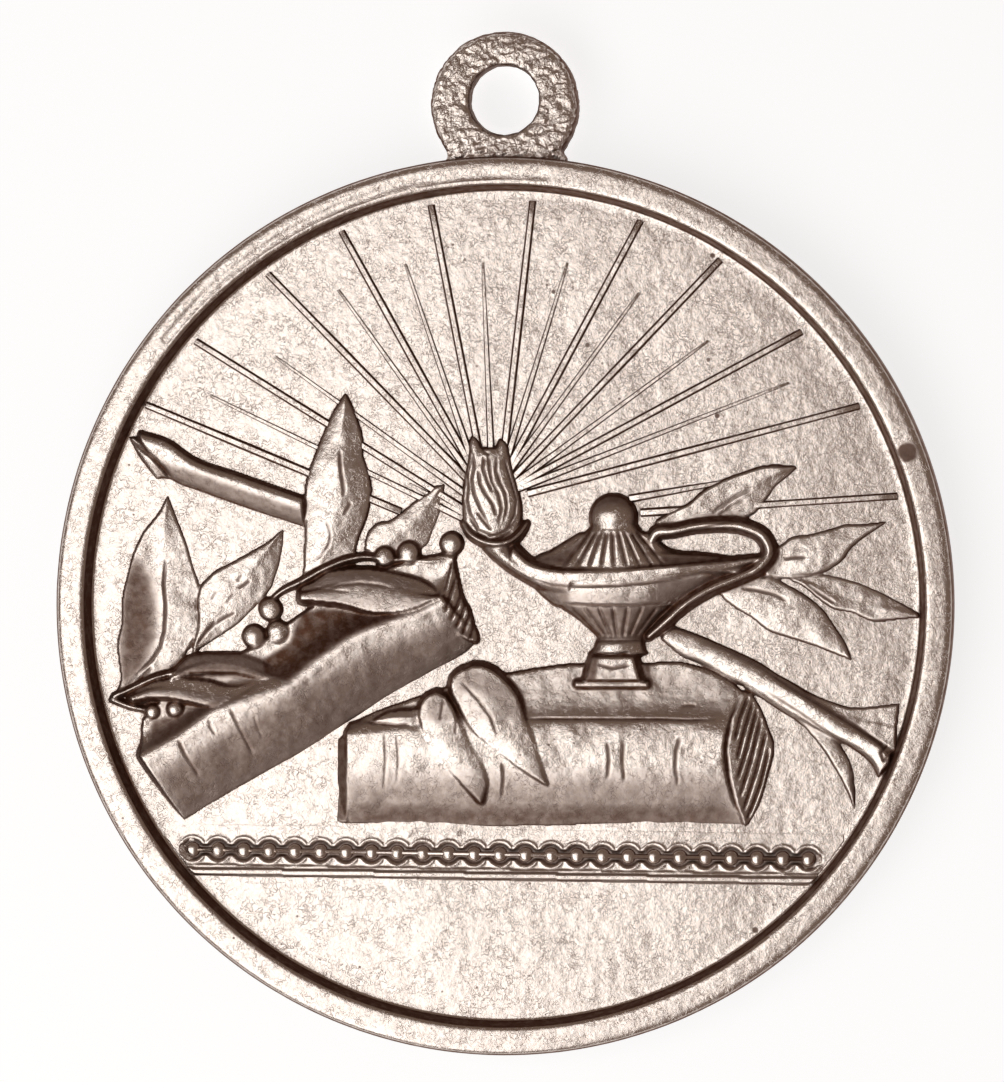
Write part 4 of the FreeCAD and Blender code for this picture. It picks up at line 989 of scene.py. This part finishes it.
nozzle = band([(-1.48, 3.0), (-1.22, 2.6), (-0.8, 2.33), (-0.25, 2.22), (0.25, 2.33), (0.6, 2.62),
               (0.84, 2.98)],
              [0.1, 0.14, 0.16, 0.17, 0.16, 0.14, 0.1], [0.44, 0.58, 0.66, 0.70, 0.66, 0.58, 0.4])
handle = band([(5.20, 2.25), (5.45, 2.62), (6.0, 2.68), (6.8, 2.84), (7.6, 2.90), (8.55, 2.82),
               (9.22, 2.48), (9.45, 1.92), (9.05, 1.38), (8.4, 1.05), (7.45, 0.66), (6.5, 0.10),
               (5.8, -0.52), (5.1, -1.12)],
              [0.22, 0.27, 0.24, 0.24, 0.25, 0.27, 0.28, 0.28, 0.26, 0.24, 0.23, 0.22, 0.20, 0.15],
              [0.4, 0.52, 0.56, 0.60, 0.62, 0.62, 0.62, 0.62, 0.64, 0.66, 0.70, 0.70, 0.62, 0.45],
              count=140)
FOOT_X, FOOT_Y = 3.90, -2.20
start()
bpy.ops.mesh.primitive_cube_add(size=1, location=(FOOT_X, FOOT_Y, 0.18), scale=(2.05, 0.90, 1.04))
foot = bpy.context.object
bpy.ops.object.transform_apply(location=True, scale=True)
bpy.ops.object.mode_set(mode="EDIT")
pick(lambda co: co.y < FOOT_Y - 0.3)
bpy.ops.transform.resize(value=(1.34, 1, 1), center_override=(FOOT_X, FOOT_Y, 0))
pick(lambda co: co.z > 0.5)
bpy.ops.transform.resize(value=(0.70, 0.96, 1), center_override=(FOOT_X, FOOT_Y, 0))
start()
bpy.ops.mesh.primitive_cube_add(size=1, location=(3.86, -2.76, 0.1), scale=(2.66, 0.22, 0.80))
plinth = bpy.context.object
bpy.ops.object.transform_apply(location=True, scale=True)
flame = turned([(2.16, -0.85, 0.15, 0.30), (2.45, -1.20, 0.46, 0.38), (2.90, -1.44, 0.60, 0.42),
                (3.60, -1.50, 0.62, 0.44), (4.30, -1.46, 0.46, 0.42), (4.80, -1.38, 0.32, 0.40),
                (5.20, -1.30, 0.24, 0.38), (5.45, -1.27, 0.20, 0.34), (5.60, -1.22, 0.14, 0.28)], 0.30)
left_tongue = band([(-0.95, 5.27), (-1.02, 5.59), (-1.09, 5.88), (-1.13, 6.06)],
                   [0.26, 0.24, 0.17, 0.05], [0.34, 0.32, 0.26, 0.12], roundness=0.28)
right_tongue = band([(-0.10, 5.27), (-0.06, 5.56), (-0.10, 5.77), (-0.17, 5.95)],
                    [0.26, 0.24, 0.18, 0.05], [0.34, 0.32, 0.26, 0.12], roundness=0.28)

RIGHT_PAGE_LINES = [
    [(8.69, -3.19), (8.40, -3.97), (8.22, -4.75)],
    [(8.86, -3.37), (8.51, -4.58), (8.30, -5.46)],
    [(9.01, -3.62), (8.65, -5.04), (8.30, -6.18)],
    [(9.15, -3.97), (8.79, -5.46), (8.40, -6.78)],
    [(9.33, -4.40), (9.01, -5.75), (8.51, -7.31)],
    [(9.43, -5.04), (9.15, -6.28), (8.65, -7.60)]]
right_lines = [Line(path, 0.045, 0.12, 1.0) for path in RIGHT_PAGE_LINES]
right_lines.append(Line([(8.47, -3.12), (8.08, -3.97), (7.90, -5.04), (8.01, -6.10), (8.26, -7.10),
                         (8.58, -7.74)], 0.06, 0.06, 1.0))
LID_FLUTES, CUP_FLUTES = 9, 8
right_lines += [Line([(2.15 + 0.45 * i, 1.42), (3.05 + 0.21 * i, 2.66)], 0.055, 0.07, 1.0)
                for i in range(LID_FLUTES)]
right_lines += [Line([(2.35 + 0.52 * i, -0.02), (3.42 + 0.21 * i, -1.10)], 0.055, 0.06, 0.9)
                for i in range(CUP_FLUTES)]
right_lines += [
    Line([(0.69, -4.01), (2.00, -4.01), (3.42, -4.01), (5.56, -4.01), (6.62, -4.04),
          (7.58, -4.01)], 0.05, 0.05, 1.0),
    Line([(-4.90, -4.11), (-4.40, -4.22), (-3.86, -4.26), (-3.33, -4.22)], 0.05, 0.05, 0.9),
    Line([(-4.22, -4.58), (-4.18, -5.46), (-4.26, -6.53)], 0.05, 0.015, 0.25),
    Line([(-3.79, -4.58), (-3.72, -5.46), (-3.79, -6.35)], 0.05, 0.015, 0.25),
    Line([(-0.02, -5.57), (0.01, -6.18), (-0.06, -6.82)], 0.05, 0.04, 0.9),
    Line([(3.71, -4.82), (3.78, -5.46), (3.71, -6.14)], 0.05, 0.03, 0.8),
    Line([(4.28, -4.75), (4.24, -5.46), (4.31, -6.25)], 0.05, 0.03, 0.9),
    Line([(6.30, -4.61), (6.16, -5.11), (6.13, -5.75), (6.23, -6.35)], 0.05, 0.03, 0.8),
    Line([(6.34, -3.54), (6.59, -3.51), (6.84, -3.54)], 0.05, 0.03, 0.9),
    Line([(-1.52, -2.62), (-0.84, -3.37), (-0.42, -3.94), (-0.20, -4.58)], 0.05, 0.03, 0.5),
    Line([(-2.12, -3.30), (-2.16, -3.69), (-2.23, -4.04)], 0.05, 0.03, 0.6),
    Line([(-1.73, -3.54), (-1.66, -4.04), (-1.70, -4.58)], 0.04, 0.02, 0.5),
    Line([(8.83, 4.17), (8.22, 3.89), (7.76, 3.57), (7.44, 3.32)], 0.05, 0.03, 0.6),
    Line([(8.58, 3.78), (8.05, 3.50), (7.62, 3.18)], 0.04, 0.02, 0.5),
    Line([(9.97, 1.68), (10.36, 1.75), (10.75, 1.75)], 0.045, 0.03, 0.9),
    Line([(8.47, 0.65), (9.04, 0.58), (9.61, 0.44), (10.04, 0.22)], 0.045, 0.03, 0.8),
    Line([(10.75, 0.79), (11.25, 0.44), (11.78, 0.12)], 0.05, 0.03, 0.6),
    Line([(13.66, -4.90), (13.42, -5.18), (13.52, -5.46), (13.66, -5.32)], 0.045, 0.05, 0.9),
    Line([(9.18, -2.19), (10.18, -2.90), (11.25, -3.54), (12.31, -4.18),
          (13.56, -4.93)], 0.05, 0.03, 0.9),
    Line([(3.35, -2.05), (3.92, -2.19), (4.49, -2.05)], 0.05, 0.04, 0.8),
    Line([(3.25, -1.62), (3.85, -1.77), (4.49, -1.62)], 0.05, 0.04, 0.8),
    Line([(3.07, -1.20), (3.42, -1.23), (4.14, -1.23), (4.92, -1.20)], 0.05, 0.05, 0.9),
    Line([(2.82, -2.66), (3.78, -2.69), (4.95, -2.66)], 0.04, 0.04, 0.8),
    Line([(2.07, 0.08), (3.42, 0.05), (4.85, 0.05), (5.98, 0.12)], 0.05, 0.06, 0.9),
    Line([(0.94, 1.01), (1.72, 0.76), (2.89, 0.72), (4.14, 0.76), (5.56, 0.90),
          (6.98, 1.11)], 0.04, 0.04, 0.8)]
FLAME_STRANDS = [
    [(-1.34, 4.85), (-1.27, 4.28), (-1.34, 3.78), (-1.20, 3.28), (-0.91, 2.78)],
    [(-1.13, 5.49), (-1.06, 4.99), (-1.16, 4.49), (-1.06, 3.99), (-0.84, 3.50), (-0.56, 2.93)],
    [(-0.91, 4.85), (-0.84, 4.35), (-0.63, 3.99), (-0.38, 3.64), (-0.24, 3.21)],
    [(-0.70, 5.34), (-0.74, 4.92), (-0.59, 4.49), (-0.38, 4.06)],
    [(-0.56, 5.49), (-0.49, 4.85), (-0.42, 4.42), (-0.17, 3.99), (-0.06, 3.50), (-0.17, 2.93)],
    [(-0.24, 5.34), (-0.27, 4.85), (-0.13, 4.42), (0.08, 3.99), (0.12, 3.50), (0.01, 3.00)],
    [(0.01, 5.27), (0.15, 4.78), (0.30, 4.28), (0.44, 3.78), (0.40, 3.28), (0.15, 2.78)],
    [(-0.95, 3.35), (-0.70, 3.00), (-0.42, 2.71)],
    [(-0.81, 5.70), (-0.70, 5.49), (-0.52, 5.38)],
    [(-1.27, 3.21), (-0.91, 2.71), (-0.42, 2.54), (0.08, 2.68), (0.51, 3.10)],
    [(-0.98, 2.64), (-0.56, 2.39), (-0.13, 2.43), (0.30, 2.68)]]
right_lines += [Line(path, 0.038, 0.06, 0.9) for path in FLAME_STRANDS]
for row in RIGHT_LEAVES[:6]:
    right_lines += [Line(row.left, 0.045, 0.02, 0.75), Line(row.right, 0.045, 0.02, 0.75)]
# Painted shade: areas darkened where the lying book's foot and end, the lamp's body, cup and knob, and the
# stem turn from the light.
right_painted_shades = [
    PaintedShade([(-5.82, -6.10), (3.42, -6.03), (8.05, -6.03), (8.62, -8.17), (-5.82, -8.17)], 0.55, 0.36),
    PaintedShade([(-5.82, -6.89), (3.42, -6.85), (8.19, -6.85), (8.69, -8.17), (-5.82, -8.17)], 0.85, 0.36),
    PaintedShade([(-5.96, -4.90), (-5.61, -4.75), (-5.57, -7.74), (-5.96, -7.67)], 0.85, 0.05),
    PaintedShade([(-5.39, -4.18), (-3.69, -3.47), (-0.13, -2.55), (2.00, -2.19), (5.06, -2.12), (7.16, -2.34),
          (8.12, -2.83), (7.69, -3.90), (-5.39, -4.26)], 0.16, 0.12),
    PaintedShade([(5.56, -2.34), (7.16, -2.41), (8.22, -2.90), (7.76, -3.90), (5.56, -3.90)], 0.25, 0.10),
    PaintedShade([(0.97, 1.58), (2.00, 1.90), (2.50, 2.18), (2.93, 2.64), (2.54, 1.93), (2.29, 1.43),
          (1.47, 1.36)], 0.8, 0.04),
    PaintedShade([(5.56, 1.79), (7.58, 1.75), (8.97, 1.65), (6.98, 1.47), (5.56, 1.40)], 0.8, 0.04),
    PaintedShade([(1.29, 0.94), (2.22, 0.76), (2.54, 0.08), (2.00, 0.01), (1.58, 0.37)], 0.6, 0.08),
    PaintedShade([(5.42, 1.01), (7.51, 1.04), (6.41, 0.15), (5.42, 0.12)], 0.6, 0.08),
    PaintedShade([(5.66, -1.30), (6.62, -1.94), (8.76, -3.15), (11.25, -4.58), (13.24, -6.10), (13.52, -5.82),
          (11.42, -4.50), (8.76, -2.98), (6.70, -1.77)], 0.45, 0.10),
    PaintedShade([(-1.73, -2.44), (-1.02, -2.19), (-0.13, -2.62), (0.58, -3.33), (0.72, -4.11), (0.05, -3.90),
          (-0.49, -3.33), (-1.13, -2.98), (-1.62, -3.33)], 0.45, 0.12),
    PaintedShade([(-2.83, -3.33), (-2.41, -3.12), (-1.98, -3.40), (-1.70, -3.97), (-2.26, -4.18),
          (-2.69, -4.11)], 0.40, 0.10),
    PaintedShade([(1.86, 0.08), (6.13, 0.08), (4.92, -1.27), (3.35, -1.27)], 0.72, 0.12),
    PaintedShade([(0.94, 0.72), (2.36, 0.51), (4.14, 0.44), (6.62, 0.65), (7.69, 1.08), (6.62, 0.08),
          (5.56, -0.06), (2.22, -0.06)], 0.35, 0.15),
    PaintedShade([(3.14, -1.06), (3.50, -0.91), (3.32, -2.62), (2.86, -2.76)], 0.8, 0.05),
    PaintedShade([(4.85, -0.91), (5.06, -0.98), (5.27, -2.76), (5.02, -2.76)], 0.8, 0.05),
    PaintedShade([(3.00, 3.07), (3.14, 3.71), (3.64, 3.99), (4.21, 3.99), (4.63, 3.64), (4.78, 3.07),
          (4.35, 3.50), (3.85, 3.60), (3.35, 3.42)], 0.7, 0.10)]
right_forms = [leaf(row) for row in RIGHT_LEAVES]
right_forms += [lower_book, lower_end, lower_pages, right_stem, knob, cup, belly, lid, shoulders,
                neck_ring, lip, spout, nozzle, handle, foot, plinth, flame, left_tongue, right_tongue]
right_sheet = Sheet(-6.4, 14.9, -8.4, 6.5, 0.042)
right_sheet.strike(right_forms, [(0.11, 0.0030, 9), (0.26, 0.0075, 5), (0.9, 0.014, 6)], right_lines,
                   right_painted_shades)
finish_piece(right_sheet.to_mesh(right_sheet.height > SHEET_EDGE), "lamp_and_lying_book", lined_and_shaded_metal)


# The rays: thin ridges with steep sides, raised with the field from cuts that a graver made in the
# die. Long ones keep their width to the rim, and short ones taper to a point.
Ray = namedtuple("Ray", "tip root long")
RAYS = [
    Ray((-12.83, 7.16), (-3.69, 3.35), True), Ray((-10.51, 7.48), (-1.45, 3.10), False),
    Ray((-11.05, 9.43), (-1.52, 3.49), True), Ray((-8.17, 8.86), (-1.55, 4.10), False),
    Ray((-8.45, 11.82), (-1.70, 4.90), True), Ray((-5.93, 11.25), (-1.34, 4.85), False),
    Ray((-5.82, 13.34), (-1.30, 5.20), True), Ray((-3.54, 12.17), (-1.23, 5.38), False),
    Ray((-2.62, 14.27), (-0.98, 5.88), True), Ray((-0.77, 12.21), (-0.49, 5.81), False),
    Ray((1.01, 14.41), (0.05, 5.98), True), Ray((2.25, 12.21), (0.26, 5.77), False),
    Ray((4.85, 13.70), (0.44, 5.48), True), Ray((4.81, 11.14), (0.44, 5.16), False),
    Ray((7.69, 12.31), (0.51, 4.78), True), Ray((7.26, 9.43), (0.54, 4.49), False),
    Ray((10.57, 9.75), (0.62, 4.38), True), Ray((10.14, 7.94), (0.76, 4.28), False),
    Ray((12.63, 7.12), (1.36, 4.14), True), Ray((9.90, 4.78), (4.46, 3.82), False),
    Ray((13.98, 3.92), (4.85, 3.32), True), Ray((-3.40, 4.35), (-1.48, 3.30), False)]
RAY_HALF, RAY_CREST, RAY_SINK = 0.24, 0.12, 0.13
CREST_SHARE = 0.35           # how wide the crest is, of the foot
LONG_TIP, SHORT_TIP = 0.85, 0.4
SHORT_TIP_DROP = 0.6
FLAME, FLAME_REACH = (-0.45, 4.0), 2.6
RAY_REACH = 0.55             # how far a root runs on under the flame
RAY_ROUNDING = 0.02


def ray(row):
    """One ridge, from its tip to its root, which runs on under the flame where it starts close by."""
    if math.dist(row.root, FLAME) < FLAME_REACH:
        away = math.dist(row.tip, row.root)
        row = row._replace(root=tuple(r + (r - t) * RAY_REACH / away for r, t in zip(row.root, row.tip)))
    length = math.dist(row.tip, row.root)
    turn = math.atan2(row.tip[1] - row.root[1], row.tip[0] - row.root[0])
    middle = ((row.tip[0] + row.root[0]) / 2, (row.tip[1] + row.root[1]) / 2)
    start()
    bpy.ops.mesh.primitive_cube_add(size=1, scale=(length, 2 * RAY_HALF, RAY_CREST + RAY_SINK),
                                    location=(0, 0, (RAY_CREST - RAY_SINK) / 2))
    ridge = bpy.context.object
    bpy.ops.object.transform_apply(location=True, scale=True)
    bpy.ops.object.mode_set(mode="EDIT")
    pick(lambda co: co.z > 0)
    bpy.ops.transform.resize(value=(1, CREST_SHARE, 1), center_override=(0, 0, 0))
    pick(lambda co: co.x > 0)
    tip_share = LONG_TIP if row.long else SHORT_TIP
    bpy.ops.transform.resize(value=(1, tip_share, 1), center_override=(0, 0, 0))
    if not row.long:
        pick(lambda co: co.x > 0 and co.z > 0)
        bpy.ops.transform.translate(value=(0, 0, -RAY_CREST * SHORT_TIP_DROP))
    bpy.ops.mesh.select_all(action="SELECT")
    bpy.ops.mesh.subdivide(number_cuts=10)
    bpy.ops.object.mode_set(mode="OBJECT")
    ridge.rotation_euler = (0, 0, turn)
    ridge.location = (*middle, FIELD_Z)
    bpy.ops.object.transform_apply(location=True, rotation=True)
    bevel = ridge.modifiers.new("bevel", "BEVEL")
    bevel.width = RAY_ROUNDING
    bevel.segments = 2
    apply_all(ridge)
    return ridge


finish_piece(join([ray(row) for row in RAYS]), "rays", white_metal("struck white metal", 0.024, 0.26, 0.14))

# The border under the books, above the blank exergue: a row of round beads with a thin bar between
# them, each in a pocket with a raised lip, and a moulding of two steps along the lower side. It is
# raised with the field, and its tops are rubbed bright.
BEADS, BEAD_R, BEAD_FLAT, BEAD_SINK = 25, 0.27, 0.62, 0.07
FIRST_BEAD, LAST_BEAD = (-11.17, -8.72), (10.83, -8.99)
THREAD_R, THREAD_SINK = 0.085, 0.03
STRIP_END = 11.65
LOWER_STEP, UPPER_STEP = (-0.52, -0.92, 0.05), (-0.66, -0.86, 0.13)     # up, down and top
BED_CELL, BED_FLOOR, BED_ROUNDS, BED_WEAR = 0.04, 0.004, 4, 0.02
BED_SWELL = (0.5, 0.003, 11)                # size, depth and seed
POCKET_R, POCKET_WALL, POCKET_DEPTH, POCKET_TONE = 0.40, 0.08, 0.10, 0.60
CHANNEL_HALF, CHANNEL_WALL, CHANNEL_END = 0.21, 0.06, 0.45              # under the thin bar
LIP_R, LIP_HALF, LIP_HEIGHT, LIP_GAP = 0.46, 0.045, 0.035, 0.16
BED_HALF, DIVE_START, DIVE_RUN, DIVE_DEPTH = 1.04, 0.87, 0.17, 0.022
slope = (LAST_BEAD[1] - FIRST_BEAD[1]) / (LAST_BEAD[0] - FIRST_BEAD[0])
centres = [(FIRST_BEAD[0] + (LAST_BEAD[0] - FIRST_BEAD[0]) * i / (BEADS - 1),
            FIRST_BEAD[1] + (LAST_BEAD[1] - FIRST_BEAD[1]) * i / (BEADS - 1)) for i in range(BEADS)]


def strip(up, down, top):
    """A straight slab along the border, from its upper to its lower edge."""
    start()
    bpy.ops.mesh.primitive_cube_add(size=1, scale=(2 * STRIP_END, up - down, top + 0.3),
                                    location=(0, (up + down) / 2, (top - 0.3) / 2))
    slab = bpy.context.object
    bpy.ops.object.transform_apply(location=True, scale=True)
    slab.rotation_euler = (0, 0, math.atan(slope))
    slab.location = (0, FIRST_BEAD[1] - slope * FIRST_BEAD[0], 0)
    bpy.ops.object.transform_apply(location=True, rotation=True)
    return slab


bed = Sheet(-12.1, 12.1, -10.1, -7.6, BED_CELL)
bed.press([strip(*LOWER_STEP), strip(*UPPER_STEP)])
bed.height = np.maximum(bed.height, BED_FLOOR)
bed.draft(BED_ROUNDS)
x, y = np.meshgrid(bed.x, bed.y)
off_line = np.abs(y - (FIRST_BEAD[1] + slope * (x - FIRST_BEAD[0])))
to_bead = np.min([np.hypot(x - bx, y - by) for bx, by in centres], axis=0)
pocket = np.maximum(np.clip((POCKET_R - to_bead) / POCKET_WALL, 0, 1),
                    np.clip((CHANNEL_HALF - off_line) / CHANNEL_WALL, 0, 1))
pocket *= (x > FIRST_BEAD[0] - CHANNEL_END) & (x < LAST_BEAD[0] + CHANNEL_END)
lip_line = np.exp(-((to_bead - LIP_R) / LIP_HALF) ** 2) * (off_line > LIP_GAP)
bed.height += LIP_HEIGHT * lip_line - POCKET_DEPTH * pocket
bed.soften(BED_WEAR)
bed.roughen(*BED_SWELL)
waves = [swell(Vector((px, py, FIELD_Z)), FIELD_WAVES) * min(1, max(0, FIELD_R - math.hypot(px, py)))
         for px, py in zip(x.ravel(), y.ravel())]
bed.height += np.reshape(waves, x.shape)
bed.height -= DIVE_DEPTH * np.clip((off_line - DIVE_START) / DIVE_RUN, 0, 1)
# Painted shade on the steps' steep walls, and patina in the hollows and pockets.
bed.tarnish_and_shade()
bed.stain = np.maximum(bed.stain, POCKET_TONE * pocket)
bed_metal = white_metal("struck white metal, shallow", 0.020, 0.26, 0.05, lined_and_shaded=True)
finish_piece(bed.to_mesh((off_line < BED_HALF) & (np.hypot(x, y) < FIELD_R - 0.04)), "border_bed",
             bed_metal)

beads = []
for x, y in centres:
    start()
    bpy.ops.mesh.primitive_uv_sphere_add(segments=24, ring_count=12, radius=BEAD_R,
                                         scale=(1, 1, BEAD_FLAT), location=(x, y, FIELD_Z - BEAD_SINK))
    bpy.ops.object.transform_apply(location=True, scale=True)
    beads.append(bpy.context.object)
start()
bpy.ops.mesh.primitive_cylinder_add(vertices=12, radius=THREAD_R, depth=LAST_BEAD[0] - FIRST_BEAD[0],
                                    rotation=(0, math.pi / 2, 0))
thread = bpy.context.object
bpy.ops.object.transform_apply(rotation=True)
thread.rotation_euler = (0, 0, math.atan(slope))
thread.location = ((FIRST_BEAD[0] + LAST_BEAD[0]) / 2, (FIRST_BEAD[1] + LAST_BEAD[1]) / 2,
                   FIELD_Z - THREAD_SINK)
bpy.ops.object.transform_apply(location=True, rotation=True)
finish_piece(join([thread] + beads), "beads", white_metal("struck white metal, rubbed", 0.010, 0.22, 0.02))

# The table that the medal lies on: a sheet of white paper. One large soft light stands above it and
# to the left, the room round it is dim and warm, and the camera looks down on the picture, turned
# a little aside.
paper = bpy.data.materials.new("white paper")
paper.use_nodes = True
face = paper.node_tree.nodes["Principled BSDF"].inputs
face["Base Color"].default_value = (0.42, 0.42, 0.43, 1)
face["Roughness"].default_value = 0.9
face["Emission Color"].default_value = (1, 1, 1, 1)
face["Emission Strength"].default_value = 0.80
start()
bpy.ops.mesh.primitive_plane_add(size=4, location=(0, 0, 0))
table = bpy.context.object
table.name = "table"
table.data.materials.append(paper)

LAMP_PLACE = (-0.108, -0.154, 0.2)
start()
bpy.ops.object.light_add(type="AREA", location=LAMP_PLACE)
softbox = bpy.context.object
softbox.data.shape = "RECTANGLE"
softbox.data.size, softbox.data.size_y = 0.22, 0.38
softbox.data.energy = 0.390
softbox.data.color = (1.0, 1.0, 0.995)
softbox.visible_camera = False

world = bpy.data.worlds.new("dim room")
bpy.context.scene.world = world
world.use_nodes = True
world.node_tree.nodes["Background"].inputs["Color"].default_value = (1.0, 0.70, 0.56, 1)
world.node_tree.nodes["Background"].inputs["Strength"].default_value = 0.14
bpy.context.scene.view_settings.view_transform = "Standard"

CAMERA_DISTANCE, PICTURE_HEIGHT, SENSOR = 0.30, 0.03847, 24
TILT_X, TILT_Y = math.radians(4), math.radians(1)
AIM = (-0.00006, 0.000087, 0.0022)
start()
bpy.ops.object.camera_add(location=(AIM[0] + CAMERA_DISTANCE * math.sin(TILT_X),
                                    AIM[1] + CAMERA_DISTANCE * math.sin(TILT_Y),
                                    AIM[2] + CAMERA_DISTANCE * math.cos(TILT_X) * math.cos(TILT_Y)))
camera = bpy.context.object
camera.rotation_euler = (-TILT_Y, TILT_X, 0)
camera.data.sensor_fit = "VERTICAL"
camera.data.sensor_height = SENSOR
camera.data.lens = SENSOR * CAMERA_DISTANCE / PICTURE_HEIGHT
bpy.context.scene.camera = camera
